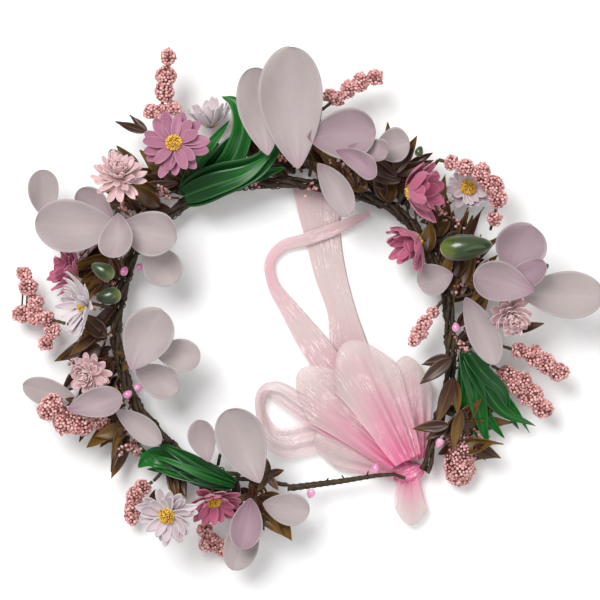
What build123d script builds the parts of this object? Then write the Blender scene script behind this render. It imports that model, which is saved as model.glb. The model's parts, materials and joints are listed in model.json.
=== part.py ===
"""Flower crown: fabric blooms, berry sprays and leaf picks on an open wire hoop with a ribbon bow.

The crown lies flat on a table. The origin is at the middle of the head opening, on the table,
with +Z up. The open ends of the hoop are at +X -Y. All sizes are in millimetres.
"""

import os
from math import hypot

from build123d import *

os.makedirs("parts", exist_ok=True)

# Driving dimensions
HOOP_HEIGHT = 15.0  # middle of the wire bundle above the table
STRAND = 1.1  # radius of one paper-taped stem wire
STRAND_SPREAD = 2.4  # how far the outer and inner strands stand off the middle of the bundle
BIND_RADIUS = 4.4  # radius of one turn of binding thread
THREAD = 0.4  # radius of the binding thread
FABRIC = 0.5  # thickness of petal and leaf fabric
RIBBON = 0.4  # thickness of the organza ribbon
RIBBON_WIDTH = 20.0
TWIG = 0.8  # radius of a berry twig
STEM = 0.9  # radius of a flower stem
BEND_GAP = 0.8  # clear length at the place where a twig bends
PETAL_BEND = 0.85  # bowl radius of a petal over its length
LEAF_BEND = 1.6  # bowl radius of a leaf over its length
EYE_RADIUS = 4.4  # the eye of a daisy
EYE_RISE = 3.0
HOOP_REACH = 5.0  # where a stem ends, from the middle of the wire bundle
STRAND_DROP = 1.0  # how far the outer and inner strands lie below the middle of the bundle
STRAND_LIFT = 1.4  # how far the top strand lies above it
ARM_WIRE = 1.32  # radius of the bare arm
WIRE_END = 0.6  # rounding of a wire's ends over its radius
LEAF_ROOT = 1.0  # bare root of a leaf
BLADE_ROOT = 1.5  # bare root of a grass blade
SHORTEST = 0.86  # the shortest grass blade over the longest
BLADE_STEP = 1.2  # height between neighbouring grass blades
BLADE_FAN = 4.0  # degrees by which neighbouring grass blades differ in rise
BINDINGS = 13  # turns of binding thread
LAYER_STEP = 1.6  # height between the layers of a bloom
LAYER_SHRINK = 0.13  # how much smaller each layer is than the one below
HUB_GAP = 1.4  # clear height between a bloom and its stem
LOOP_ROOT = 3.0  # where a ribbon loop starts, from the knot
PETAL_HALF = 0.41  # half length of a punched petal over the layer's radius
HUB_SHARE = 0.3  # radius of a punched layer's hub over the layer's radius

# Middle line of the hoop, from its square-cut end round to the tip of the bare arm
HOOP = [
    (77, -77), (91, -30), (91, 22), (66, 70), (8, 85), (-46, 81), (-84, 50),
    (-96, 2), (-86, -38), (-52, -73), (2, -85),
]  # fmt: skip
HOOP_TURNS = [60, 60, 36, 60, 60, 36, 50, 50, 40]
ARM = [(4.2, -85.2), (30, -82), (56, -77), (67, -80)]
ARM_TURNS = [40, 8]


def place(x, y, z, heading=0, rise=0, roll=0):
    """Location whose +X points along the heading and up by the rise, then rolls about itself."""
    turn = Location((0, 0, 0), (0, 0, heading))
    lift = Location((0, 0, 0), (0, -rise, 0))
    return Location((x, y, z)) * turn * lift * Location((0, 0, 0), (roll, 0, 0))


def facing(x, y, z, lean, toward):
    """Location whose +Z leans from the vertical by an angle, toward a heading."""
    turn = Location((0, 0, 0), (0, 0, toward))
    return Location((x, y, z)) * turn * Location((0, 0, 0), (0, lean, 0))


def write(shape, name):
    """Label one node and write it."""
    shape.label = name
    export_step(shape, f"parts/{name}.step")


def write_group(pieces, name):
    """Write several separate pieces as one node."""
    write(Compound(children=pieces), name)


def rod(start, end, radius):
    """A straight round wire with rounded ends between two points."""
    run = Vector(*end) - Vector(*start)
    with BuildPart() as wire:
        with BuildSketch(Plane(origin=start, z_dir=run)):
            Circle(radius)
        extrude(amount=run.length)
        fillet(wire.edges().filter_by(GeomType.CIRCLE), radius * WIRE_END)
    return wire.part


def shifted(points, outward):
    """The points moved away from the middle of the head opening."""
    return [(x * (1 + outward / hypot(x, y)), y * (1 + outward / hypot(x, y))) for x, y in points]


def hoop_strand(points, turns, outward, height, radius=STRAND):
    """One strand of the hoop, swept along straight runs joined by wide arcs."""
    with BuildPart() as strand:
        with BuildLine(Plane.XY.offset(height)) as path:
            FilletPolyline(*shifted(points, outward), radius=turns)
        with BuildSketch(Plane(path.line @ 0, z_dir=path.line % 0)):
            Circle(radius)
        sweep()
    return strand.part


def cupped(length, width, bend, pointed=False):
    """A thin petal or leaf, centred on the origin, long in X, with its hollow side up."""
    with BuildPart() as blade:
        with Locations((0, 0, bend)):
            Sphere(bend)
            Sphere(bend - FABRIC, mode=Mode.SUBTRACT)
        with BuildSketch(Plane.XY.offset(-1)):
            if pointed:
                with BuildLine():
                    ThreePointArc((-length / 2, 0), (0, width / 2), (length / 2, 0))
                    ThreePointArc((length / 2, 0), (0, -width / 2), (-length / 2, 0))
                make_face()
            else:
                Ellipse(length / 2, width / 2)
        extrude(amount=bend, mode=Mode.INTERSECT)
    return blade.part


def cut_layer(radius, count, petal_width, bowl):
    """One punched layer of petals joined at a small hub, dished upwards."""
    reach = radius * PETAL_HALF
    with BuildPart() as layer:
        with Locations((0, 0, bowl)):
            Sphere(bowl)
            Sphere(bowl - FABRIC, mode=Mode.SUBTRACT)
        with BuildSketch(Plane.XY.offset(-1)):
            Circle(radius * HUB_SHARE)
            with PolarLocations(radius - reach, count):
                Ellipse(reach, petal_width / 2)
        extrude(amount=bowl, mode=Mode.INTERSECT)
    return layer.part


def dome(radius, height):
    """A low round cap standing on the XY plane, the eye of a daisy."""
    ball = (radius**2 + height**2) / (2 * height)
    with BuildPart() as eye:
        with Locations((0, 0, height - ball)):
            Sphere(ball)
        split(bisect_by=Plane.XY)
    return eye.part


def oval(length, width):
    """A bud, pod or pearl, long in X and round about it."""
    with BuildPart() as bud:
        with BuildSketch(Plane.XY):
            Ellipse(length / 2, width / 2)
            with Locations((0, -width / 2)):
                Rectangle(length, width, mode=Mode.SUBTRACT)
        revolve(axis=Axis.X)
    return bud.part


def runs(path):
    """Start plane and length of each straight run between the points."""
    pairs = [(Vector(*start), Vector(*end)) for start, end in zip(path, path[1:])]
    return [(Plane(origin=start, z_dir=end - start), (end - start).length) for start, end in pairs]


def bent_wire(path, radius):
    """A wire of straight runs, rounded where they meet."""
    with BuildPart() as wire:
        for plane, length in runs(path):
            with BuildSketch(plane):
                Circle(radius)
            extrude(amount=length)
        with Locations(*path[1:]):
            Sphere(radius)
    return wire.part


def ball(spot, radius):
    """One round berry knob."""
    with BuildPart() as knob:
        with Locations(spot):
            Sphere(radius)
    return knob.part


def spray(path, knobs, side_knobs=()):
    """A berry twig and the lumpy berry knobs pressed on to it.

    path: points of the twig. knobs: (share of the twig, radius). side_knobs: (point, radius).
    """
    line = Polyline(*path)
    spots = [(line @ share, radius) for share, radius in knobs] + list(side_knobs)
    return bent_wire(path, TWIG), [ball(spot, radius) for spot, radius in spots]


def strip(points, turns, width, height, thickness=RIBBON):
    """A flat run of ribbon along a line on the table, level at its height."""
    with BuildPart() as band:
        with BuildSketch(Plane.XY.offset(height)):
            with BuildLine() as run:
                FilletPolyline(*points, radius=turns)
            trace(line_width=width)
        extrude(amount=thickness)
    return band.part


def loop(length, width, height):
    """A flat loop of ribbon lying on its side: a thin closed band starting at the origin."""
    with BuildPart() as band:
        with BuildSketch(Plane.XZ.offset(-width / 2)):
            with Locations((length / 2, height / 2)):
                Ellipse(length / 2, height / 2)
                Ellipse(length / 2 - RIBBON, height / 2 - RIBBON, mode=Mode.SUBTRACT)
        extrude(amount=width)
    return band.part


# --------------------------------------------------------------------------- hoop
LOW = HOOP_HEIGHT - STRAND_DROP
HIGH = HOOP_HEIGHT + STRAND_LIFT
write(hoop_strand(HOOP, HOOP_TURNS, -STRAND_SPREAD, LOW), "hoop_core_wire")
write(hoop_strand(HOOP[:-1], HOOP_TURNS[:-1], 0, HIGH), "hoop_top_strand")
write(hoop_strand(HOOP[1:], HOOP_TURNS[1:], STRAND_SPREAD, LOW), "hoop_outer_strand")

with BuildPart() as binding:
    with BuildLine(Plane.XY.offset(HOOP_HEIGHT)):
        middle = FilletPolyline(*HOOP, radius=HOOP_TURNS)
    with Locations([middle.location_at((i + 1.5) / (BINDINGS + 2)) for i in range(BINDINGS)]):
        Torus(BIND_RADIUS, THREAD)
write(binding.part, "hoop_binding_thread")

with BuildPart() as arm:
    with BuildLine(Plane.XY.offset(HOOP_HEIGHT)) as arm_path:
        FilletPolyline(*ARM, radius=ARM_TURNS)
    with BuildSketch(Plane(arm_path.line @ 0, z_dir=arm_path.line % 0)):
        Circle(ARM_WIRE)
    sweep()
write(arm.part, "hoop_bare_arm")

# --------------------------------------------------------------------------- magnolias
# Petals: centre x, y, z, length, width, heading, rise, roll
MAGNOLIAS = {
    "left": [
        (-114, 60, 38, 45, 27, 178, 8, 0),
        (-134, 77, 26, 25, 18, 100, 5, 25),
        (-74, 56, 40, 32, 24, -12, 12, 0),
        (-69, 38, 32, 24, 20, -50, -12, 0),
        (-91, 54, 46, 24, 19, -95, 8, 0),
        (-104, 70, 33, 26, 15, 140, 5, 0),
    ],
    "top": [
        (4, 124, 48, 64, 35, 94, 14, 0),
        (-13, 123, 40.5, 46, 24, 105, 8, 0),
        (31, 110, 42, 36, 27, 5, 6, 0),
        (58, 103, 34, 19, 18, 10, 0, 0),
        (29, 79, 34, 29, 25, -80, -12, 0),
        (44, 94, 54, 24, 15, -15, 8, 0),
    ],
    "right": [
        (130, 47, 40, 26, 25, 75, 15, 0),
        (156, 22, 36, 48, 26, 4, 0, 0),
        (116, 28, 50, 34, 22, 160, 8, 0),
        (107, 4, 31, 40, 17, -68, -12, 0),
        (83, 31, 20.5, 20, 18, 195, -5, 0),
    ],
    "inner_left": [
        (-76, -3, 42, 32, 26, 65, 10, 0),
        (-58, -11, 32, 23, 18, -5, 0, 0),
        (-73, -24, 28, 25, 17, -35, -10, 0),
    ],
    "lower_left": [
        (-130, -32, 18, 30, 15, 165, -5, 0),
        (-103, -37, 36, 31, 17, 15, 8, 0),
        (-80.5, -49, 30, 30, 14, -38, -8, 0),
    ],
    "inner_bottom": [
        (-45, -58, 30, 22, 13, 105, 5, 0),
        (-23, -60, 36, 42, 26, 118, 8, 0),
    ],
    "outer_bottom": [
        (-24, -113, 22, 33, 19, -105, -8, 0),
        (-22, -102, 32, 24, 16, -80, 0, 0),
        (0, -95, 27, 25, 18, -15, -5, 0),
    ],
}
MAGNOLIA_STEMS = {
    "left": (-92, 60, 24),
    "top": (15, 98, 26),
    "right": (112, 24, 26),
    "inner_left": (-82, -8, 24),
    "lower_left": (-100, -42, 22),
    "inner_bottom": (-36, -66, 24),
    "outer_bottom": (-18, -94, 20),
}
# Stems that dip under their neighbours before they rise: the lowest point
ELBOWS = {
    "white_daisy_bottom_left": (-63, -87, 11),
    "mum_right": (122, 9, 20),
}
stem_tops = {f"magnolia_{side}": Vector(*top) for side, top in MAGNOLIA_STEMS.items()}
stems = []
for side, petals in MAGNOLIAS.items():
    pieces = [
        cupped(length, width, length * PETAL_BEND).moved(place(x, y, z, heading, rise, roll))
        for x, y, z, length, width, heading, rise, roll in petals
    ]
    write_group(pieces, f"magnolia_{side}_petals")

# --------------------------------------------------------------------------- daisies and mums
# Hub x, y, z, petal radius, petals in a layer, petal width, layers, lean, lean heading, bowl
# radius over petal radius: near 1 for a half-open bloom
BLOOMS = {
    "pink_daisy_top_left": (-60, 103, 46, 20, 13, 6.0, 2, 14, 100, 1.8),
    "pink_daisy_top_right": (67, 78, 36, 19, 13, 6.0, 2, 65, 0, 1.15),
    "pink_daisy_inner_right": (74, 53, 26, 13, 13, 4.6, 2, 60, 215, 1.15),
    "pink_daisy_left": (-116, 33, 16, 13, 13, 4.6, 2, 60, 150, 1.15),
    "pink_daisy_bottom": (-40, -88, 26, 15, 13, 5.0, 2, 50, 280, 1.15),
    "white_daisy_top_left": (-40, 113, 13, 13, 13, 4.2, 2, 75, 100, 1.15),
    "white_daisy_right": (101, 80, 12, 14, 13, 4.6, 2, 20, 70, 1.6),
    "white_daisy_left": (-107, 17, 40, 17, 13, 4.2, 2, 55, 190, 1.2),
    "white_daisy_bottom_left": (-64, -97, 40, 19, 13, 5.2, 2, 18, 250, 1.8),
    "mum_upper_left": (-90, 84, 50, 16.5, 15, 4.6, 3, 35, 85, 1.5),
    "mum_right": (123, 12, 34, 13, 14, 4.2, 3, 30, -80, 1.5),
    "mum_lower_left": (-107, -22, 26, 13, 14, 4.2, 3, 20, 200, 1.5),
}
eyes = []
for name, bloom in BLOOMS.items():
    x, y, z, radius, count, petal_width, layers, lean, toward, bowl = bloom
    stand = facing(x, y, z, lean, toward)
    pieces = []
    for i in range(layers):
        reach = radius * (1 - LAYER_SHRINK * i)
        lift = Location((0, 0, LAYER_STEP * i), (0, 0, 180 / count * i))
        layer = cut_layer(reach, count, petal_width, reach * bowl)
        pieces.append(layer.moved(stand * lift))
    write_group(pieces, f"{name}_petals")
    eyes.append(dome(EYE_RADIUS, EYE_RISE).moved(stand * Location((0, 0, LAYER_STEP * layers))))
    stem_tops[name] = (stand * Location((0, 0, -HUB_GAP))).position
write_group(eyes, "daisy_eyes")

# --------------------------------------------------------------------------- berry sprays
# Twig points, knobs along it, knobs beside it. The first point is where the twig bends.
SPRAYS = {
    "top_left": (
        [(-70, 112, 20), (-67, 136, 24), (-64, 156, 32)],
        [(0.25, 4.5), (0.48, 5.5), (0.7, 5.5), (0.92, 4.5)],
        [((-74, 123, 22), 4.0), ((-62, 125, 22), 4.0)],
    ),
    "top": (
        [(20, 124, 22), (37, 137, 25), (52, 143, 29)],
        [(0.3, 4.0), (0.5, 4.5), (0.7, 5.0), (0.93, 4.5)],
        [((25, 132, 23), 3.6)],
    ),
    "right_top": (
        [(84, 96, 30), (106, 90, 32), (118, 78, 30), (113, 58, 26)],
        [(0.12, 4.0), (0.27, 4.5), (0.42, 5.5), (0.57, 5.5), (0.72, 5.0), (0.9, 4.0)],
        [],
    ),
    "inner_right": (
        [(86, 18, 23), (78, 8, 25), (71, -4, 21)],
        [(0.3, 3.2), (0.55, 4.0), (0.8, 4.5), (0.97, 3.5)],
        [],
    ),
    "right_outer": (
        [(118, -6, 22), (138, -12, 24), (154, -23, 22)],
        [(0.3, 4.5), (0.5, 5.5), (0.72, 5.5), (0.93, 5.0)],
        [],
    ),
    "right_lower": (
        [(114, -17, 20), (131, -28, 20), (145, -44, 16)],
        [(0.25, 5.0), (0.45, 6.5), (0.68, 6.5), (0.92, 5.5)],
        [],
    ),
    "bottom_right": (
        [(94, -50, 13), (97, -66, 9.7), (96, -82, 9)],
        [(0.25, 6.5), (0.5, 9.5), (0.75, 8.5), (0.93, 6.0)],
        [((106, -62, 9), 5.0)],
    ),
    "left": (
        [(-122, 6, 18), (-136, 10, 18), (-149, 12, 14)],
        [(0.4, 4.5), (0.65, 5.0), (0.92, 5.0)],
        [
            ((-130, 2, 17), 4.5), ((-133, -5, 16), 4.0), ((-139, 18, 18), 4.5),
            ((-143, 26, 19), 5.0), ((-145, 33, 19), 4.0),
        ],
    ),
    "lower_left": (
        [(-100, -45, 20), (-116, -50, 27), (-131, -38, 33)],
        [(0.15, 5.5), (0.4, 7.0), (0.65, 7.5), (0.93, 7.0)],
        [],
    ),
    "bottom_left": (
        [(-74, -82, 16), (-84, -88, 14), (-86, -104, 11)],
        [(0.25, 4.5), (0.5, 5.0), (0.75, 5.0), (0.94, 4.0)],
        [],
    ),
    "bottom": (
        [(-46, -104, 13), (-44, -116, 10), (-26, -122, 6)],
        [(0.2, 4.5), (0.45, 5.5), (0.7, 5.0), (0.94, 4.5)],
        [],
    ),
}
BENDING = ["top_left", "top", "right_outer", "right_lower", "left", "bottom_left", "bottom"]
for name, (path, knobs, side_knobs) in SPRAYS.items():
    twig, berries = spray(path, knobs, side_knobs)
    write_group(berries, f"berries_{name}")
    if name in BENDING:
        write(twig, f"berry_twig_{name}")
        bend, first = Vector(*path[0]), Vector(*path[1])
        stem_tops[f"berries_{name}"] = bend - (first - bend).normalized() * BEND_GAP
    else:
        stems.append(twig)
        stem_tops[f"berries_{name}"] = Vector(*path[0])

# Stem wires from the blooms, and the stubs of the twigs, to the side of the hoop
for name, top in stem_tops.items():
    first = Vector(*ELBOWS.get(name, tuple(top)))
    away, on_hoop, _ = middle.distance_to_with_closest_points(Vertex(*first))
    near = on_hoop + (first - on_hoop) * (HOOP_REACH / away)
    if name in ELBOWS:
        stems.append(bent_wire([tuple(near), tuple(first), tuple(top)], STEM))
    elif away > HOOP_REACH + 2 * STEM:
        stems.append(rod(tuple(near), tuple(top), STEM))
write_group(stems, "stem_wires")

# --------------------------------------------------------------------------- leaf picks
# Root x, y, z, blade length, blade width, first heading, last heading, blades, rise
PICKS = {
    "top": (-52, 78, 24, 62, 12, 28, 60, 4, 4),
    "right": (99, -12, 23, 54, 6.5, -86, -48, 9, -8),
    "bottom_left": (-30, -82, 23, 58, 6.0, 148, 172, 7, -2),
}
for name, (x, y, z, length, width, first, last, count, rise) in PICKS.items():
    blades = []
    for i in range(count):
        heading = first + (last - first) * i / (count - 1)
        long = length * (SHORTEST + (1 - SHORTEST) * ((i * 3) % count) / count)
        slope = rise + BLADE_FAN * (i % 3 - 1)
        root = place(x, y, z + BLADE_STEP * (i % 3), heading, slope)
        shape = cupped(long, width, long * LEAF_BEND, pointed=True)
        blades.append(shape.moved(root * Location((long / 2 + BLADE_ROOT, 0, 0))))
    write_group(blades, f"green_leaf_pick_{name}")

# Brown and olive leaves: root x, y, z, length, width, heading, rise
LEAVES = {
    "top_right": [
        (60, 88, 26, 22, 7, 20, 5), (60, 88, 28, 24, 7, 60, 12), (58, 90, 26, 26, 7, 95, 8),
        (62, 86, 28.5, 20, 6, 140, 3), (64, 84, 27, 24, 7, 165, 5), (60, 90, 30, 18, 6, 80, 5),
        (62, 84, 16, 18, 6, -30, 0), (66, 92, 24, 16, 5, 30, 0),
    ],
    "right": [
        (92, -13, 27, 22, 8, 218, 0), (91, -50, 24, 20, 7, 186, 0), (93, -23, 26.5, 28, 8, 250, -8),
        (122, 2, 25, 20, 6, 12, 8), (104, -60, 30, 16, 6, -30, -4), (96, -40, 26, 24, 7, 262, -8),
    ],
    "left": [
        (-76, 111, 24, 18, 5, 160, 5), (-80, 88, 21.5, 20, 8, 130, 0), (-98, -2, 24, 20, 10, 140, 0),
        (-98, -14, 22, 20, 8, 200, -5), (-92, 30, 24, 16, 6, 110, 10), (-88, -50, 23, 18, 9, 222, -5),
    ],
    "bottom": [
        (-18, -88, 21, 22, 7, 240, -5), (-17, -88, 24, 20, 6, 285, -5), (-14, -88, 22, 20, 7, 320, -5),
        (-70, -84, 26, 18, 6, 250, 0),
    ],
}  # fmt: skip
for side, leaves in LEAVES.items():
    pieces = [
        cupped(length, width, length * LEAF_BEND, pointed=True).moved(
            place(x, y, z, heading, rise) * Location((length / 2 + LEAF_ROOT, 0, 0))
        )
        for x, y, z, length, width, heading, rise in leaves
    ]
    write_group(pieces, f"brown_leaves_{side}")

# --------------------------------------------------------------------------- buds and pearls
# Centre x, y, z, length, width, heading
PODS = [(99, 48, 34, 29, 14, 5), (-100, 35, 34, 14, 9, 150), (-97, 21, 32, 14, 9, 190)]
SMALL_BUDS = [(-94, 98, 28, 9, 8, 120), (142, 37, 30, 6, 4.5, 30), (73, 100, 40, 6, 4.5, 70)]
PEARLS = [
    (85, -60, 22, 5.5, 4.5, 240), (94, 4, 25, 5.5, 4.5, 100), (14, -88, 21, 5.5, 4.5, 250),
    (-87, -33, 24, 5.5, 4.5, 40), (-81, -29, 24, 5.5, 4.5, 20), (-89, 35, 25, 5.5, 4.5, 60),
    (-80, 37, 25, 5.5, 4.5, 20),
]  # fmt: skip
for name, buds in {"green_buds": PODS + SMALL_BUDS, "pearl_buds": PEARLS}.items():
    pieces = [
        oval(length, width).moved(place(x, y, z, heading))
        for x, y, z, length, width, heading in buds
    ]
    write_group(pieces, name)
write(oval(5.5, 4.5).moved(place(50, -74.2, HOOP_HEIGHT + 1, 80)), "arm_pearl_bud")

# --------------------------------------------------------------------------- ribbon bow
KNOT = (69, -78, 5.8)
write(oval(17, 11).moved(place(*KNOT, 20)), "ribbon_knot")
# Loops: reach, width, height, heading, height of the underside
LOOPS = [(78, 26, 14, 122, 3), (66, 26, 16, 104, 4), (58, 24, 9, 90, 2.6), (82, 22, 9, 142, 2.6)]
pieces = [
    loop(length, width, height).moved(place(64, -66, base, heading) * Location((LOOP_ROOT, 0, 0)))
    for length, width, height, heading, base in LOOPS
]
write_group(pieces, "ribbon_bow_loops")
write(loop(74, 16, 1.9).moved(place(58, -71, 0.5, 166)), "ribbon_side_loop")
write(strip([(68, -86), (67, -96), (68, -106)], [30], RIBBON_WIDTH, 2), "ribbon_short_tail")
write(
    strip([(51, -50), (34, -6), (23, 28), (19, 82)], [60, 80], RIBBON_WIDTH, 0.8),
    "ribbon_wide_tail",
)
write(
    strip([(50, -46), (14, -2), (-8, 40), (18, 57), (46, 68)], [40, 12, 30], 6, 2.0),
    "ribbon_folded_tail",
)
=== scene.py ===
"""Looks of the flower crown: cloth blooms, bead berries, moulded leaves, taped hoop and organza bow.

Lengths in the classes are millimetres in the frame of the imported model, and meshes are metres.
"""

import json
import logging
from dataclasses import dataclass
from enum import Enum

import bpy
import numpy as np
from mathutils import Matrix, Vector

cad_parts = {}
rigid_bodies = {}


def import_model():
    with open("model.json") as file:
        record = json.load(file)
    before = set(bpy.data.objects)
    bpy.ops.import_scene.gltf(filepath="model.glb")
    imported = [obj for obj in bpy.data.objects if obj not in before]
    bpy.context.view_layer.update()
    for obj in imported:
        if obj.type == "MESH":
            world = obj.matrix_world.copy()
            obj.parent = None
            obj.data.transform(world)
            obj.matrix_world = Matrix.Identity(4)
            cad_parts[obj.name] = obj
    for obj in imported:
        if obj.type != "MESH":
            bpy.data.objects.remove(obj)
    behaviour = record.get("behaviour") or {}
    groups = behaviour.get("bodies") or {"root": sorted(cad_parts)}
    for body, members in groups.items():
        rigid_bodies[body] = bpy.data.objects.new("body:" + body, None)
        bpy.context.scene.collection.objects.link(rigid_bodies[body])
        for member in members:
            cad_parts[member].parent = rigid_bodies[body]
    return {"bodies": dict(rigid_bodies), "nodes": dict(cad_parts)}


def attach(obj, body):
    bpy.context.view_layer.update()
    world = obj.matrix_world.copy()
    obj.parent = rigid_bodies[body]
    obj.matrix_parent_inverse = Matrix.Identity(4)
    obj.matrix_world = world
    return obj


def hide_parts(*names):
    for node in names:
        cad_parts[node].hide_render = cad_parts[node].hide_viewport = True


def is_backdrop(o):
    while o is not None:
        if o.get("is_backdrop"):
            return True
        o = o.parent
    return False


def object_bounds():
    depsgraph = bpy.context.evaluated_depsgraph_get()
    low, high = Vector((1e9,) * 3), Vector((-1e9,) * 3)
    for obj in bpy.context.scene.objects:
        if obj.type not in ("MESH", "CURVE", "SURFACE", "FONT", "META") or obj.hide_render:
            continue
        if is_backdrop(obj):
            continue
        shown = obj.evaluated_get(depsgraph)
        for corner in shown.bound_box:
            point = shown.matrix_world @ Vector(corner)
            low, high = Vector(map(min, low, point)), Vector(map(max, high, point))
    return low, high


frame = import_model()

CAD_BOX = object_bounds()
MM = 0.001
LOWEST = 0.3  # nothing reaches below the table
LOG = logging.getLogger("flower_crown")


# ------------------------------------------------------------------ shader maths
def srgb(red: int, green: int, blue: int) -> tuple[float, float, float, float]:
    """Linear colour with full alpha from eight-bit display values."""
    part = np.array([red, green, blue]) / 255
    low, high = part / 12.92, ((part + 0.055) / 1.055) ** 2.4
    return (*np.where(part <= 0.04045, low, high).tolist(), 1.0)


class Sock:
    """One output socket, with the operators that add Math nodes."""

    def __init__(self, paint: "Paint", socket: bpy.types.NodeSocket) -> None:
        """Wrap a socket of a paint's node tree."""
        self.paint, self.socket = paint, socket

    def __add__(self, other: "Sock | float") -> "Sock":
        """Sum."""
        return self.paint.math("ADD", self, other)

    __radd__ = __add__

    def __mul__(self, other: "Sock | float") -> "Sock":
        """Product."""
        return self.paint.math("MULTIPLY", self, other)

    __rmul__ = __mul__

    def __sub__(self, other: "Sock | float") -> "Sock":
        """Difference."""
        return self.paint.math("SUBTRACT", self, other)

    def __rsub__(self, other: float) -> "Sock":
        """Difference from a number."""
        return self.paint.math("SUBTRACT", other, self)

    def __abs__(self) -> "Sock":
        """Absolute value."""
        return self.paint.math("ABSOLUTE", self)


class Paint:
    """The node tree of one material round a Principled shader."""

    def __init__(self, name: str, **constants: float) -> None:
        """Start a material and set the shader's own constant sockets.

        Args:
            name: the material's name.
            constants: socket names, with underscores for spaces, and their values.
        """
        self.material = bpy.data.materials.new(name)
        self.material.use_nodes = True
        self.tree = self.material.node_tree
        self.shader = self.tree.nodes["Principled BSDF"]
        for key, value in constants.items():
            self.shader.inputs[key.replace("_", " ")].default_value = value

    def put(self, socket: bpy.types.NodeSocket, value: "Sock | float | tuple") -> None:
        """Link or set one input socket."""
        if isinstance(value, Sock):
            self.tree.links.new(value.socket, socket)
        else:
            socket.default_value = value

    def node(
        self,
        kind: str,
        settings: dict[str, object] | None = None,
        sockets: dict[str | int, "Sock | float | tuple"] | None = None,
        out: str | int = 0,
    ) -> Sock:
        """Add a node.

        Args:
            kind: node type without its ShaderNode prefix.
            settings: attributes set first, with stops for the stops of a ramp.
            sockets: input sockets' values or links.
            out: the output wanted.

        Returns:
            The output socket.
        """
        made = self.tree.nodes.new(f"ShaderNode{kind}")
        for key, value in (settings or {}).items():
            if key != "stops":
                setattr(made, key, value)
                continue
            elements = made.color_ramp.elements
            while len(elements) < len(value):
                elements.new(0.5)
            for element, (place, colour) in zip(elements, value):
                element.position, element.color = place, colour
        for key, value in (sockets or {}).items():
            self.put(made.inputs[key], value)
        return Sock(self, made.outputs[out])

    def math(self, operation: str, *values: "Sock | float") -> Sock:
        """Add a Math node on up to three values."""
        return self.node("Math", {"operation": operation}, dict(enumerate(values)))

    def clamp(self, value: Sock, low: float = 0.0, high: float = 1.0) -> Sock:
        """The value kept between two limits."""
        return self.node("Clamp", {}, {"Value": value, "Min": low, "Max": high})

    def step(self, value: Sock, low: float, high: float) -> Sock:
        """Smooth rise from 0 at low to 1 at high."""
        settings = {"interpolation_type": "SMOOTHSTEP"}
        return self.node("MapRange", settings, {"Value": value, "From Min": low, "From Max": high})

    def mix(self, share: "Sock | float", first: "Sock | tuple", second: "Sock | tuple") -> Sock:
        """Colour between two colours."""
        return self.node("Mix", {"data_type": "RGBA"}, {0: share, 6: first, 7: second}, 2)

    def vector(self, x: "Sock | float", y: "Sock | float", z: "Sock | float" = 0.0) -> Sock:
        """Vector from three values."""
        return self.node("CombineXYZ", {}, {0: x, 1: y, 2: z})

    def noise(self, where: Sock, scale: float, detail: float = 2.0, rough: float = 0.5) -> Sock:
        """Noise value at a place."""
        sockets = {"Vector": where, "Scale": scale, "Detail": detail, "Roughness": rough}
        return self.node("TexNoise", {}, sockets)

    def along_across(self) -> tuple[Sock, Sock]:
        """The piece's own map: along it, and across it from 0 to 1."""
        place = self.node("UVMap", {"uv_map": "grid"})
        split = self.tree.nodes.new("ShaderNodeSeparateXYZ")
        self.put(split.inputs[0], place)
        return Sock(self, split.outputs[0]), Sock(self, split.outputs[1])

    def tint(self) -> Sock:
        """The number that each leaf, petal or bead carries."""
        return self.node("Attribute", {"attribute_name": "tint"}, {}, "Fac")

    def place(self) -> Sock:
        """Object coordinates."""
        return self.node("TexCoord", {}, {}, "Object")

    def bump(self, height: Sock, strength: float, distance: float) -> None:
        """Feed a bump into the shader's normal, with its distance in millimetres."""
        sockets = {"Height": height, "Strength": strength, "Distance": distance * MM}
        self.put(self.shader.inputs["Normal"], self.node("Bump", {}, sockets))

    def finish(self, colour: Sock, roughness: "Sock | float | None" = None) -> bpy.types.Material:
        """Feed colour and roughness and hand over the material."""
        self.put(self.shader.inputs["Base Color"], colour)
        if roughness is not None:
            self.put(self.shader.inputs["Roughness"], roughness)
        return self.material


# ------------------------------------------------------------------ finishes
Colour = tuple[float, float, float, float]


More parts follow.
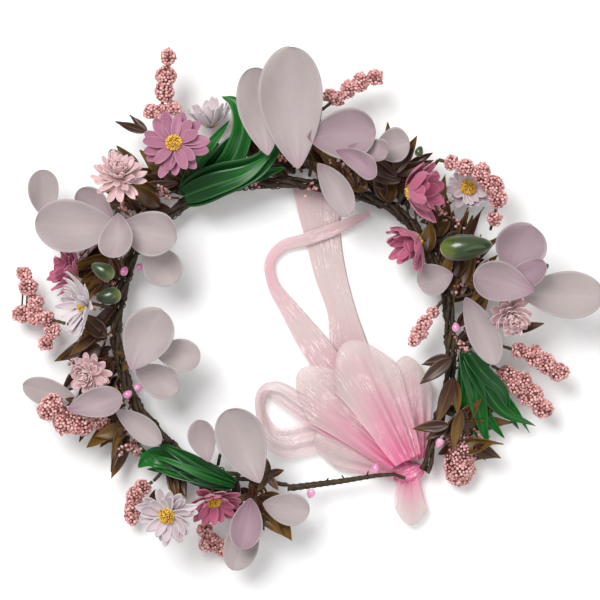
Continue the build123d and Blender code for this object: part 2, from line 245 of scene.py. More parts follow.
@dataclass(frozen=True)
class PetalCloth:
    """Stamped petal cloth: a root colour that fades outwards, creases with painted shade along them, and a
    paler rim; sheer cloth is also darkened in mottles, which is painted shade.
    """

    name: str
    body: Colour
    root: Colour
    rim: Colour
    root_reach: float = 0.45
    creases: float = 9.0
    crease_depth: float = 0.25
    roughness: float = 0.55
    sheen: float = 0.4
    cover: float = 1.0

    def make(self) -> bpy.types.Material:
        """The material."""
        paint = Paint(self.name, Sheen_Weight=self.sheen, Sheen_Roughness=0.4, Specular_IOR_Level=0.35)
        along, across = paint.along_across()
        tint = paint.tint()
        side = abs(across - 0.5) * 2.0
        wander = paint.noise(paint.vector(along * 2.0, across * 5.0, tint * 37.0), 1.6, 3.0)
        crease = paint.math("SINE", (across + wander * 0.08) * (6.283 * self.creases)) * 0.5 + 0.5
        fine = paint.noise(paint.vector(along * 3.0, across * 60.0, tint * 11.0), 1.0, 3.0)
        root_share = 1.0 - paint.step(along + (wander - 0.5) * 0.35, 0.0, self.root_reach)
        body = paint.mix(tint * 0.55, self.body, self.root)
        colour = paint.mix(root_share * (tint * 0.6 + 0.4), body, self.root)
        # painted shade: the creases and the mottling darken the colour towards the root colour
        shade = paint.clamp(crease * 0.10 + fine * 0.14 + wander * 0.25)
        colour = paint.mix(shade * 0.6, colour, paint.mix(0.5, colour, self.root))
        rim_share = paint.step(side, 0.86, 1.0) * 0.5 + paint.step(along, 0.93, 1.0) * 0.4
        colour = paint.mix(paint.clamp(rim_share), colour, self.rim)
        if self.cover < 1:
            # painted shade on the sheer cloth: mottled darkening towards a near-black grey, stronger towards
            # the sides, partly the cloth's own mottling
            mottle = paint.noise(paint.place(), 150.0, 4.0, 0.6)
            mottled_shade = paint.clamp((mottle - 0.5) * 0.9 + (wander - 0.5) * 0.7 + side * 0.25)
            colour = paint.mix(mottled_shade * 0.45, colour, paint.mix(0.35, self.body, (0.02, 0.02, 0.02, 1.0)))
            cover = wander * 0.3 - side * 0.12 + (self.cover - 0.10)
            paint.put(paint.shader.inputs["Alpha"], paint.clamp(cover))
        paint.bump(crease * 0.6 + fine * 0.5, self.crease_depth, 0.4)
        return paint.finish(colour, fine * 0.15 + (self.roughness - 0.07))


@dataclass(frozen=True)
class BeadSkin:
    """Dusty foam beads with a satin skin, and painted shade in the gaps between them."""

    name: str = "berry_beads"

    def make(self) -> bpy.types.Material:
        """The material."""
        paint = Paint(self.name, Coat_Weight=0.12, Coat_Roughness=0.3, Specular_IOR_Level=0.45)
        grain = paint.noise(paint.place(), 900.0, 3.0)
        stops = [
            # the darkest stop colours the core ball under the beads: painted shade in the gaps
            (0.0, srgb(92, 40, 34)),
            (0.25, srgb(154, 92, 88)),
            (0.55, srgb(206, 146, 144)),
            (1.0, srgb(236, 190, 186)),
        ]
        colour = paint.node(
            "ValToRGB", {"stops": stops}, {"Fac": paint.clamp(paint.tint() + (grain - 0.5) * 0.35)}
        )
        paint.bump(grain, 0.3, 0.2)
        return paint.finish(colour, grain * 0.25 + 0.38)


@dataclass(frozen=True)
class MouldedLeaf:
    """Glossy moulded leaf: midrib, fine ribs along it, a painted highlight along its rim, and a second colour
    towards its tip, partly painted highlight.
    """

    name: str
    body: Colour
    tip: Colour
    # colour of the midrib and ribs, also of the painted highlight along the rim
    rib: Colour
    roughness: float = 0.3
    ribs: float = 7.0

    def make(self) -> bpy.types.Material:
        """The material."""
        paint = Paint(self.name, Coat_Weight=0.08, Coat_Roughness=0.25, Specular_IOR_Level=0.35)
        along, across = paint.along_across()
        tint = paint.tint()
        cloud = paint.noise(paint.vector(along * 2.0, across * 2.0, tint * 23.0), 1.5, 3.0)
        side = abs(across - 0.5) * 2.0
        rib = paint.math("SINE", across * (6.283 * self.ribs)) * 0.5 + 0.5
        midrib = 1.0 - paint.step(side, 0.03, 0.14)
        # towards the tip and in random patches the second colour: partly the leaf's own lighter colour,
        # partly painted highlight
        share = paint.clamp(paint.step(along + (cloud - 0.5) * 0.9 + (tint - 0.5) * 0.9, 0.3, 1.1))
        colour = paint.mix(share, self.body, self.tip)
        # the midrib and ribs are the leaf's own paler veins; the paler rim is a painted highlight along the
        # edges
        veins_and_rim_highlight = paint.clamp(midrib * 0.45 + rib * 0.10 + paint.step(side, 0.85, 1.0) * 0.25)
        colour = paint.mix(veins_and_rim_highlight, colour, self.rib)
        paint.bump(rib * 0.5 - midrib * 0.8, 0.35, 0.4)
        return paint.finish(colour, cloud * 0.25 + (self.roughness - 0.1))


@dataclass(frozen=True)
class WrappedTape:
    """Crinkled floral tape or bark, banded slantwise round a stem."""

    name: str
    dark: Colour
    light: Colour
    roughness: float = 0.62

    def make(self) -> bpy.types.Material:
        """The material."""
        paint = Paint(self.name, Specular_IOR_Level=0.35)
        place = paint.place()
        crinkle = paint.noise(place, 700.0, 4.0, 0.65)
        patch = paint.noise(place, 90.0, 3.0)
        bands = paint.node(
            "TexWave",
            {"wave_type": "BANDS", "bands_direction": "DIAGONAL"},
            {"Vector": place, "Scale": 110.0, "Distortion": 4.0, "Detail": 2.0},
            "Fac",
        )
        share = paint.clamp(patch * 0.9 + crinkle * 0.5 + bands * 0.25 - 0.42)
        paint.bump(crinkle + bands * 0.6, 0.5, 0.3)
        return paint.finish(paint.mix(share, self.dark, self.light), patch * 0.2 + self.roughness - 0.1)


@dataclass(frozen=True)
class Lacquer:
    """Pearly or glossy lacquer over a bud, deeper at its root."""

    name: str
    body: Colour
    root: Colour
    roughness: float = 0.22
    coat: float = 0.5

    def make(self) -> bpy.types.Material:
        """The material."""
        paint = Paint(self.name, Coat_Weight=self.coat, Coat_Roughness=0.12, Sheen_Weight=0.2)
        along, _ = paint.along_across()
        tint = paint.tint()
        cloud = paint.noise(paint.place(), 260.0, 3.0)
        share = paint.clamp(paint.step(along + (cloud - 0.5) * 0.3, 0.92, 0.55) * 0.9 + tint * 0.25 - 0.1)
        paint.bump(cloud, 0.12, 0.2)
        return paint.finish(paint.mix(share, self.body, self.root), cloud * 0.15 + self.roughness)


@dataclass(frozen=True)
class Flock:
    """Yellow flocked filaments, with painted shade in brown between them."""

    name: str = "daisy_eye"

    def make(self) -> bpy.types.Material:
        """The material."""
        paint = Paint(self.name, Sheen_Weight=0.3)
        grain = paint.noise(paint.place(), 1300.0, 3.0)
        share = paint.clamp(paint.tint() + (grain - 0.5) * 0.5)
        stops = [(0.0, srgb(120, 72, 14)), (0.4, srgb(206, 150, 24)), (1.0, srgb(242, 206, 66))]
        paint.bump(grain, 0.4, 0.2)
        return paint.finish(paint.node("ValToRGB", {"stops": stops}, {"Fac": share}), grain * 0.2 + 0.6)


@dataclass(frozen=True)
class Organza:
    """Sheer woven ribbon: deeper where it is gathered, with silky streaks along it and painted highlight
    glints.
    """

    name: str
    pale: Colour
    deep: Colour
    cover: float = 0.62

    def make(self) -> bpy.types.Material:
        """The material."""
        paint = Paint(self.name, Sheen_Weight=0.6, Sheen_Roughness=0.25, Specular_IOR_Level=0.6)
        along, across = paint.along_across()
        gather = paint.tint()
        place = paint.place()
        streak = paint.noise(paint.vector(along * 3.0, across * 30.0), 1.0, 4.0, 0.6)
        glint = paint.noise(paint.vector(along * 46.0, across * 34.0, gather * 3.0), 1.0, 4.0, 0.7)
        cloud = paint.noise(place, 45.0, 3.0)
        patch = paint.step(paint.noise(place, 62.0, 2.0), 0.44, 0.68)
        threads = paint.math("SINE", across * 620.0) * 0.5 + 0.5
        # painted highlights: glints in patches, mixed towards near white, a little less clear and less rough
        shine = paint.step(streak * 0.35 + glint * 0.65, 0.48, 0.62) * patch
        colour = paint.mix(paint.clamp(gather + (cloud - 0.5) * 0.35), self.pale, self.deep)
        colour = paint.mix(shine * 0.7, colour, srgb(255, 238, 240))
        edge = paint.step(abs(across - 0.5) * 2.0, 0.955, 0.985)
        cover = gather * 0.3 + streak * 0.3 + shine * 0.25 + edge * 0.25 + (self.cover - 0.24)
        paint.put(paint.shader.inputs["Alpha"], paint.clamp(cover, 0.15, 0.97))
        paint.bump(streak + threads * 0.12, 0.3, 0.4)
        return paint.finish(paint.mix(edge * 0.12, colour, self.deep), 0.55 - shine * 0.25)


# ------------------------------------------------------------------ surfaces
def turned(heading: float, rise: float = 0.0, roll: float = 0.0) -> np.ndarray:
    """Rotation that rolls about X, lifts X by the rise, then turns it to the heading (degrees)."""
    (a, b, c), one = np.radians([heading, -rise, roll]), 1.0
    about_z = np.array([[np.cos(a), -np.sin(a), 0], [np.sin(a), np.cos(a), 0], [0, 0, one]])
    about_y = np.array([[np.cos(b), 0, np.sin(b)], [0, one, 0], [-np.sin(b), 0, np.cos(b)]])
    about_x = np.array([[one, 0, 0], [0, np.cos(c), -np.sin(c)], [0, np.sin(c), np.cos(c)]])
    return about_z @ about_y @ about_x


def facing(lean: float, toward: float) -> np.ndarray:
    """Rotation that leans +Z from the vertical towards a heading (degrees)."""
    return turned(toward) @ turned(0.0, -lean)


def smooth(points: np.ndarray, count: int) -> np.ndarray:
    """Catmull-Rom curve through given points.

    Args:
        points: rows of coordinates, with any further columns carried along.
        count: number of points wanted.

    Returns:
        The curve, evenly spaced in its parameter.
    """
    ends = np.vstack([2 * points[:1] - points[1:2], points, 2 * points[-1:] - points[-2:-1]])
    place = np.linspace(0, len(points) - 1.000001, count)
    i, t = place.astype(int), (place % 1)[:, None]
    p0, p1, p2, p3 = ends[i], ends[i + 1], ends[i + 2], ends[i + 3]
    cubic = (3 * (p1 - p2) + p3 - p0) * t**3 + (2 * p0 - 5 * p1 + 4 * p2 - p3) * t**2
    return 0.5 * (cubic + (p2 - p0) * t + 2 * p1)


def frames(path: np.ndarray) -> tuple[np.ndarray, np.ndarray, np.ndarray]:
    """Tangent, level side and upright vectors along a path."""
    tangent = np.gradient(path, axis=0)
    tangent /= np.linalg.norm(tangent, axis=1, keepdims=True) + 1e-9
    side = np.cross(np.array([0.02, 0.013, 1.0]), tangent)
    side /= np.linalg.norm(side, axis=1, keepdims=True) + 1e-9
    return tangent, side, np.cross(tangent, side)


def tube(path: np.ndarray, radius: np.ndarray | float, sides: int = 8) -> np.ndarray:
    """A round wire: a circle of the given radius carried along the path, closed at both ends."""
    path = np.vstack([path[:1], path, path[-1:]])
    reach = np.broadcast_to(radius, (len(path) - 2,))
    reach = np.concatenate([[0.0], reach, [0.0]])[:, None, None]
    _, side, up = frames(path + np.linspace(0, 1e-4, len(path))[:, None])
    side[0], side[-1], up[0], up[-1] = side[1], side[-2], up[1], up[-2]
    turn = np.linspace(0, 2 * np.pi, sides, endpoint=False)[None, :, None]
    ring = np.cos(turn) * side[:, None] + np.sin(turn) * up[:, None]
    return path[:, None] + reach * ring


class Outline(Enum):
    """Half width along a petal or leaf, as the powers p, q and r of sin(pi t^p)^q t^r."""

    ROUND = (1.12, 0.46, 0.22)
    SPOON = (1.30, 0.46, 0.10)
    STRAP = (1.10, 0.36, 0.0)
    LANCE = (0.72, 0.95, 0.0)
    BLADE = (0.62, 0.80, 0.0)


def blade(
    length: float,
    width: float,
    outline: Outline,
    cup: float = 0.6,
    curl: float = 0.0,
    ruffle: float = 0.0,
    groove: float = 0.0,
    notch: float = 0.0,
    phase: float = 0.0,
    size: tuple[int, int] = (18, 13),
) -> np.ndarray:
    """A petal or leaf, root at -X and tip at +X, centred on the origin.

    Half width is width/2 sin(pi t^p)^q t^r over its greatest value. Height is cup (x^2 + 1.5 y^2)
    over length, plus a curl that grows as t^3, a ruffle that grows to the rim, and a groove.

    Args:
        length: root to tip.
        width: greatest width.
        outline: the outline's powers.
        cup: depth of the bowl.
        curl: how far the tip bends up.
        ruffle: height of the wave at the rim.
        groove: depth of the fold along the middle.
        notch: depth of the notch in the tip.
        phase: where the wave starts.
        size: points along and across.

    Returns:
        Grid of points.
    """
    power, blunt, waist = outline.value
    t = (0.5 - 0.5 * np.cos(np.linspace(0, np.pi, size[0])))[:, None]
    s = np.linspace(-1, 1, size[1])[None, :]
    half = np.abs(np.sin(np.pi * t**power)) ** blunt * t**waist
    half = width / 2 * half / half.max()
    x = length * (t - 0.5) - notch * t**6 * (np.cos(np.pi * s * 1.5) * 0.5 + 0.5) * np.ones_like(s)
    y = half * s + 0.03 * width * np.sin(3.1 * t + phase) * np.ones_like(s)
    z = cup * (x**2 + 1.5 * y**2) / length + curl * t**3
    z = z + ruffle * s**2 * t * np.sin(9.0 * t + 2.2 * s + phase)
    z = z + groove * (np.abs(s) ** 0.8) * half / (width / 2)
    return np.stack([x + 0 * y, y, z], axis=-1)


def ball(rows: int = 6, cols: int = 8) -> np.ndarray:
    """A unit ball as rings from pole to pole."""
    polar = np.linspace(0, np.pi, rows)[:, None]
    turn = np.linspace(0, 2 * np.pi, cols, endpoint=False)[None, :]
    height = np.cos(polar) * np.ones_like(turn)
    return np.stack([np.sin(polar) * np.cos(turn), np.sin(polar) * np.sin(turn), height], axis=-1)


def spiral_points(count: int) -> np.ndarray:
    """Evenly spread points on a unit ball: each a golden angle round from the last."""
    i = np.arange(count) + 0.5
    height = 1 - 2 * i / count
    turn = i * np.pi * (3 - np.sqrt(5))
    ring = np.sqrt(1 - height**2)
    return np.stack([ring * np.cos(turn), ring * np.sin(turn), height], axis=-1)


class Skin:
    """Grids of points gathered into one mesh with a map and a tint."""

    def __init__(self) -> None:
        """Start with nothing."""
        self.points: list[np.ndarray] = []
        self.faces: list[np.ndarray] = []
        self.maps: list[np.ndarray] = []
        self.tints: list[np.ndarray] = []
        self.count = 0

    def add(
        self,
        grids: np.ndarray,
        tint: "np.ndarray | float" = 0.5,
        closed: bool = False,
    ) -> None:
        """Add one grid, or a stack of grids of the same size.

        Args:
            grids: points as rows, columns, 3, with an optional first axis of copies.
            tint: one number, one a copy, or one a point.
            closed: whether the last column joins the first.
        """
        grids = grids if grids.ndim == 4 else grids[None]
        copies, rows, cols, _ = grids.shape
        index = np.arange(copies * rows * cols).reshape(copies, rows, cols) + self.count
        if closed:
            index = np.concatenate([index, index[:, :, :1]], axis=2)
        corners = [index[:, :-1, :-1], index[:, :-1, 1:], index[:, 1:, 1:], index[:, 1:, :-1]]
        self.faces.append(np.stack(corners, axis=-1).reshape(-1, 4))
        self.points.append(grids.reshape(-1, 3))
        along, across = np.meshgrid(np.linspace(0, 1, rows), np.linspace(0, 1, cols), indexing="ij")
        self.maps.append(np.tile(np.stack([along, across], -1).reshape(-1, 2), (copies, 1)))
        tint = np.asarray(tint, dtype=float)
        if tint.ndim == 1 and len(tint) == copies:
            tint = tint[:, None, None]
        self.tints.append(np.broadcast_to(tint, (copies, rows, cols)).reshape(-1))
        self.count += copies * rows * cols

    def build(
        self,
        name: str,
        material: bpy.types.Material,
        body: str = "root",
        replaced: tuple[str, ...] = (),
        slot: str = "",
        thick: float = 0.0,
    ) -> bpy.types.Object:
        """Make the mesh, dress it and let it ride on a body.

        Args:
            name: the piece's name.
            material: its finish.
            body: the CAD body it rides on.
            replaced: CAD nodes that it stands for.
            slot: the slot of its finish; not used.
            thick: wall given to an open sheet, in millimetres.

        Returns:
            The piece.
        """
        mesh = bpy.data.meshes.new(name)
        points, faces = np.concatenate(self.points), np.concatenate(self.faces)
        points[:, 2] = np.maximum(points[:, 2], LOWEST)
        points = points * MM
        mesh.from_pydata(points, [], faces.tolist())
        corner = np.empty(len(mesh.loops), dtype=int)
        mesh.loops.foreach_get("vertex_index", corner)
        layer = mesh.uv_layers.new(name="grid")
        layer.data.foreach_set("uv", np.concatenate(self.maps)[corner].astype(np.float32).ravel())
        tints = np.concatenate(self.tints).astype(np.float32)
        mesh.attributes.new("tint", "FLOAT", "POINT").data.foreach_set("value", tints)
        mesh.polygons.foreach_set("use_smooth", np.ones(len(mesh.polygons), dtype=bool))
        mesh.materials.append(material)
        merge(mesh)
        piece = bpy.data.objects.new(name, mesh)
        bpy.context.scene.collection.objects.link(piece)
        if thick:
            wall = piece.modifiers.new("wall", "SOLIDIFY")
            wall.thickness, wall.offset = thick * MM, 0.0
        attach(piece, body)
        if replaced:
            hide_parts(*replaced)
        LOG.info("%s: %d faces on %s", name, len(mesh.polygons), body)
        return piece


def merge(mesh: bpy.types.Mesh) -> None:
    """Weld the poles of a mesh's grids."""
    import bmesh

    work = bmesh.new()
    work.from_mesh(mesh)
    bmesh.ops.remove_doubles(work, verts=work.verts, dist=1e-6)
    bmesh.ops.dissolve_degenerate(work, edges=work.edges, dist=1e-7)
    work.to_mesh(mesh)
    work.free()


def set_at(grid: np.ndarray, spin: np.ndarray, centre: tuple[float, float, float]) -> np.ndarray:
    """A grid turned by a rotation and moved to its centre."""
    return grid @ spin.T + np.array(centre)


# ------------------------------------------------------------------ magnolias
@dataclass(frozen=True)
class Petal:
    """One magnolia petal: its centre, size, aim and shape."""

    x: float
    y: float
    z: float
    length: float
    width: float
    heading: float
    rise: float = 0.0
    roll: float = 0.0
    cup: float = 0.6
    curl: float = 0.0
    ruffle: float = 1.2
    blush: float = 0.2


@dataclass
class Magnolia:
    """A magnolia bloom: frosted petals and the brown cup of sepals that holds them."""

    side: str
    petals: list[Petal]
    root: tuple[float, float, float]
    material: bpy.types.Material
    sepal: bpy.types.Material
    wall: float = 0.35

    def build(self) -> None:
        """Make petals and sepals."""
        skin = Skin()
        for i, p in enumerate(self.petals):
            grid = blade(
                p.length, p.width, Outline.ROUND, p.cup, p.curl, p.ruffle, 0.6, phase=1.7 * i, size=(30, 21)
            )
            skin.add(set_at(grid, turned(p.heading, p.rise, p.roll), (p.x, p.y, p.z)), p.blush)
        name = f"magnolia_{self.side}_petals"
        skin.build(f"{name}_cloth", self.material, "root", (name,), "frosted_petal", self.wall)
        cup = Skin()
        for i in range(5):
            spin = turned(72 * i + 20, 20)
            grid = blade(11, 4.5, Outline.LANCE, 0.5, size=(9, 7)) + np.array([5.5, 0, 0])
            cup.add(set_at(grid, spin, self.root), 0.3 + 0.1 * i)
        cup.build(f"magnolia_{self.side}_sepals", self.sepal, slot="brown_leaf", thick=0.3)


# ------------------------------------------------------------------ daisies and mums
@dataclass
class Daisy:
    """A punched bloom: layers of petals round a flocked eye."""

    name: str
    hub: tuple[float, float, float]
    radius: float
    lean: float
    toward: float
    material: bpy.types.Material
    eyes: Skin | None
    slot: str
    outline: Outline = Outline.SPOON
    petal_width: float = 5.4
    count: int = 13
    layers: tuple[float, ...] = (1.0, 0.87)
    rises: tuple[float, ...] = (8.0, 16.0)
    notch: float = 0.0
    groove: float = 0.5
    seed: int = 1
    layer_step: float = 1.3
    bristles: int = 150
    eye_radius: float = 4.1
    eye_rise: float = 2.6

    def build(self) -> None:
        """Make the petals and the eye."""
        rng = np.random.default_rng(self.seed)
        spin = facing(self.lean, self.toward)
        skin = Skin()
        for level, (reach, rise) in enumerate(zip(self.layers, self.rises)):
            for i in range(self.count):
                jitter = rng.normal(0, 1, 6)
                length = self.radius * reach * (0.90 + 0.07 * jitter[0])
                width = self.petal_width * (1 - 0.1 * level) * (1 + 0.08 * jitter[1])
                grid = blade(
                    length, width, self.outline, 0.35, 0.8 + 1.3 * jitter[2], 0.6, self.groove,
                    self.notch, jitter[3], (14, 9),
                )  # fmt: skip
                grid = grid + np.array([length / 2 + 0.5, 0, 0])
                heading = 360 / self.count * (i + 0.5 * level) + 6 * jitter[4]
                spin_out = turned(heading, rise + 6 * jitter[5], 9 * jitter[3])
                grid = set_at(grid, spin_out, (0, 0, self.layer_step * level))
                skin.add(set_at(grid, spin, self.hub), np.clip(0.35 + 0.25 * jitter[1], 0, 1))
        node = f"{self.name}_petals"
        skin.build(f"{node}_cloth", self.material, "root", (node,), self.slot, 0.3)
        if self.eyes:
            self.build_eye(spin, rng)

    def build_eye(self, spin: np.ndarray, rng: np.random.Generator) -> None:
        """A dome of short bristles: points on a cap, each carrying a small pointed ball."""
        points = spiral_points(self.bristles)
        above = self.layer_step * len(self.layers)
        points = points[points[:, 2] > -0.1]
        dome = np.array([self.eye_radius, self.eye_radius, self.eye_rise])
        centres = points * dome + np.array([0, 0, 1.6 + above])
        centres += rng.normal(0, 0.18, centres.shape)
        seeds = ball(5, 6)[None] * np.array([0.55, 0.55, 1.15]) + centres[:, None, None]
        skin = self.eyes
        skin.add(set_at(seeds, spin, self.hub), np.clip(rng.normal(0.65, 0.25, len(centres)), 0, 1), True)
        # a brown base dome under the bristles: painted shade between them
        base = ball(8, 16) * np.array([4.0, 4.0, 2.3]) + np.array([0, 0, 1.4 + above])
        skin.add(set_at(base, spin, self.hub), 0.1, True)


@dataclass
class EyeFlock:
    """The daisies' flocked eyes, kept as one piece."""

    eyes: Skin
    material: bpy.types.Material

    def build(self) -> None:
        """Make the piece once every daisy has added its eye."""
        self.eyes.build("daisy_eyes_flock", self.material, "root", ("daisy_eyes",), "daisy_eye")


# ------------------------------------------------------------------ berries
@dataclass
class BerrySpray:
    """A twig with knobs of foam beads."""

    name: str
    path: list[tuple[float, float, float]]
    knobs: list[tuple[float, float]]
    side_knobs: list[tuple[tuple[float, float, float], float]]
    beads: bpy.types.Material
    bark: bpy.types.Material
    body: str = "root"
    bead: float = 0.95
    packing: float = 3.1
    seed: int = 3

    def line(self, count: int = 60) -> np.ndarray:
        """Points evenly spaced along the twig's straight runs."""
        path = np.array(self.path, dtype=float)
        reach = np.concatenate([[0], np.cumsum(np.linalg.norm(np.diff(path, axis=0), axis=1))])
        where = np.linspace(0, reach[-1], count)
        return np.stack([np.interp(where, reach, path[:, k]) for k in range(3)], axis=-1)

    def build(self) -> None:
        """Make the knobs of beads and the twig."""
        rng = np.random.default_rng(self.seed)
        line = self.line()
        spots = [(line[int(share * 59)], radius) for share, radius in self.knobs]
        spots += [(np.array(spot, dtype=float), radius) for spot, radius in self.side_knobs]
        skin = Skin()
        for centre, radius in spots:
            count = int(self.packing * (radius / self.bead) ** 2)
            lumps = rng.normal(0, 1, (5, 3))
            lumps /= np.linalg.norm(lumps, axis=1, keepdims=True)
            out = spiral_points(count)
            swell = 0.84 + 0.30 * np.max(out @ lumps.T, axis=1, keepdims=True) ** 3
            centres = out * (radius - 0.35 * self.bead) * swell * rng.uniform(0.92, 1.08, (count, 1))
            centres += centre + rng.normal(0, 0.16, (count, 3))
            sizes = self.bead * rng.uniform(0.78, 1.15, (count, 1, 1, 1))
            skin.add(ball()[None] * sizes + centres[:, None, None], rng.uniform(0.3, 1.0, count), True)
            # a dark core ball under the beads: painted shade that shows in the gaps between them
            skin.add(ball(8, 12) * (radius - 0.7 * self.bead) + centre, 0.0, True)
        node = f"berries_{self.name}"
        skin.build(f"{node}_beads", self.beads, self.body, (node,), "berry_beads")
        wood = Skin()
        knotty = 1 + 0.12 * np.sin(np.arange(len(line)))
        wood.add(tube(line, np.linspace(0.95, 0.6, len(line)) * knotty, 7), 0.5, True)
        for centre, _ in spots[len(self.knobs):]:
            near = line[np.argmin(np.linalg.norm(line - centre, axis=1))]
            wood.add(tube(np.linspace(near, centre, 6), 0.5, 6), 0.4, True)
        node = (f"berry_twig_{self.name}",) if self.body != "root" else ()
        wood.build(f"twig_{self.name}_bark", self.bark, self.body, node, "olive_twig")


# ------------------------------------------------------------------ leaves
@dataclass
class GrassPick:
    """A tuft of long curved blades, each along given points.

    A blade's row is its points (x, y, z), its width and its tint.
    """

    side: str
    blades: list[tuple[list[tuple[float, float, float]], float, float]]
    material: bpy.types.Material
    keel: float = 0.22

    def build(self) -> None:
        """Make the blades: half width sin(pi t^0.6)^0.8 to both sides, folded along the keel."""
        skin = Skin()
        power, blunt, _ = Outline.BLADE.value
        for i, (points, width, tint) in enumerate(self.blades):
            line = smooth(np.array(points, dtype=float), 30)
            _, side, up = frames(line)
            t, s = np.linspace(0, 1, 30)[:, None], np.linspace(-1, 1, 11)[None, :]
            half = width / 2 * np.abs(np.sin(np.pi * (0.06 + 0.94 * t) ** power)) ** blunt
            lift = self.keel * width * np.abs(s) ** 1.3 * (half / (width / 2))
            lift = lift + 0.4 * np.sin(7 * t + 3 * s + i)
            grid = line[:, None] + (half * s)[..., None] * side[:, None] + lift[..., None] * up[:, None]
            skin.add(grid, tint)
        node = f"green_leaf_pick_{self.side}"
        skin.build(f"{node}_blades", self.material, "root", (node,), "green_leaf", 0.35)


@dataclass
class LeafCluster:
    """Brown and olive leaves at one place on the hoop."""

    side: str
    leaves: list[tuple[float, float, float, float, float, float, float]]
    material: bpy.types.Material

    def build(self) -> None:
        """Make each leaf and a smaller twin beside it."""
        rng = np.random.default_rng(11)
        skin = Skin()
        for x, y, z, length, width, heading, rise in self.leaves:
            for twin in range(2):
                long, wide = length * (1 - 0.25 * twin), width * (1 - 0.2 * twin)
                grid = blade(long, wide, Outline.LANCE, 0.4, rng.uniform(-2, 2), 0.6, 1.0,
                             phase=x, size=(16, 9))  # fmt: skip
                grid = grid + np.array([long / 2 + 1, 0, 0])
                aim = heading + 26 * twin * rng.choice([-1, 1])
                spin = turned(aim, rise - 8 * twin, rng.uniform(-25, 25))
                skin.add(set_at(grid, spin, (x, y, z - 1.5 * twin)), rng.uniform(0, 1))
        node = f"brown_leaves_{self.side}"
        skin.build(f"{node}_skin", self.material, "root", (node,), "brown_leaf", 0.35)


@dataclass
class Underbrush:
    """Small leaves and bare twigs that fill the hoop between the blooms.

    A stretch is its two ends on the hoop by angle, how many leaves, and the turn outwards of
    their headings from the hoop's own line.
    """

    stretches: list[tuple[float, float, int, float]]
    leaf: bpy.types.Material
    bark: bpy.types.Material
    beads: bpy.types.Material
    seed: int = 21
    room: float = 10.5

    def build(self, line: np.ndarray, clear: np.ndarray) -> None:
        """Scatter leaves and twigs along the hoop's middle line.

        Args:
            line: the middle line of the hoop.
            clear: points along the sprays that bend, which need room round them.
        """
        rng = np.random.default_rng(self.seed)
        angle = np.degrees(np.unwrap(np.arctan2(line[:, 1], line[:, 0])))
        tangent = frames(line)[0]
        leaves, twigs, beads = Skin(), Skin(), Skin()
        for first, last, count, outward in self.stretches:
            for i in range(count):
                here = np.interp(rng.uniform(first, last), angle, np.arange(len(line)))
                out = line[int(here)] * np.array([1, 1, 0])
                out *= rng.uniform(0.5, 15) / np.linalg.norm(out)
                at = line[int(here)] + out + np.array([0, 0, rng.uniform(-7, 5)])
                way = np.degrees(np.arctan2(tangent[int(here), 1], tangent[int(here), 0]))
                heading = way - outward * rng.uniform(0.35, 1.3)
                aim = np.array([np.cos(np.radians(heading)), np.sin(np.radians(heading))])
                probes = at[:2] + np.linspace(4, 26, 6)[:, None] * aim
                if np.linalg.norm(probes[:, None] - clear[None], axis=2).min() < self.room:
                    continue
                if i % 3 == 2:
                    self.twig(twigs, beads, at, heading, rng)
                    continue
                long, wide = rng.uniform(17, 32), rng.uniform(6, 11)
                grid = blade(
                    long, wide, Outline.LANCE, 0.5, rng.uniform(-3, 3), 0.8, 1.4, phase=i, size=(14, 9)
                )
                grid = grid + np.array([long / 2, 0, 0])
                spin = turned(heading, rng.uniform(-12, 22), rng.uniform(-50, 50))
                leaves.add(set_at(grid, spin, tuple(at)), rng.uniform(0, 1))
        leaves.build("hoop_small_leaves", self.leaf, slot="brown_leaf", thick=0.3)
        twigs.build("hoop_bare_twigs", self.bark, slot="olive_twig")
        beads.build("hoop_twig_beads", self.beads, slot="berry_beads")

    @staticmethod
    def twig(twigs: Skin, beads: Skin, at: np.ndarray, heading: float, rng: np.random.Generator) -> None:
        """A bent twig with a few beads towards its tip."""
        reach = rng.uniform(12, 24)
        turn = np.radians(heading + np.array([0, rng.uniform(-25, 25), rng.uniform(-45, 45)]))
        steps = np.array([0.0, 0.5, 1.0])[:, None] * reach
        flat = np.stack([np.cos(turn), np.sin(turn), np.array([0.1, 0.2, 0.1])], axis=-1)
        path = smooth(at + steps * flat, 16)
        twigs.add(tube(path, np.linspace(0.7, 0.35, 16), 6), 0.5, True)
        spots = path[rng.integers(8, 16, 18)] + rng.normal(0, 1.5, (18, 3))
        sizes = rng.uniform(0.75, 1.1, (18, 1, 1, 1))
        beads.add(ball(5, 7)[None] * sizes + spots[:, None, None], rng.uniform(0.2, 0.9, 18), True)


# ------------------------------------------------------------------ buds
@dataclass
class Buds:
    """Small buds of one finish: a ball drawn out along its heading, blunt at the root."""

    name: str
    node: str
    buds: list[tuple[float, float, float, float, float, float, float]]
    material: bpy.types.Material
    slot: str
    body: str = "root"

    def build(self) -> None:
        """Make the buds."""
        skin = Skin()
        for x, y, z, length, width, heading, tint in self.buds:
            grid = ball(14, 14)[:, :, [2, 0, 1]]
            taper = 1 - 0.28 * grid[:, :, :1]
            grid = grid * np.array([length / 2, width / 2, width / 2]) * np.concatenate(
                [np.ones_like(taper), taper, taper], axis=-1
            )
            skin.add(set_at(grid[:, ::-1], turned(heading, 8), (x, y, z)), tint, True)
        skin.build(self.name, self.material, self.body, (self.node,), self.slot)


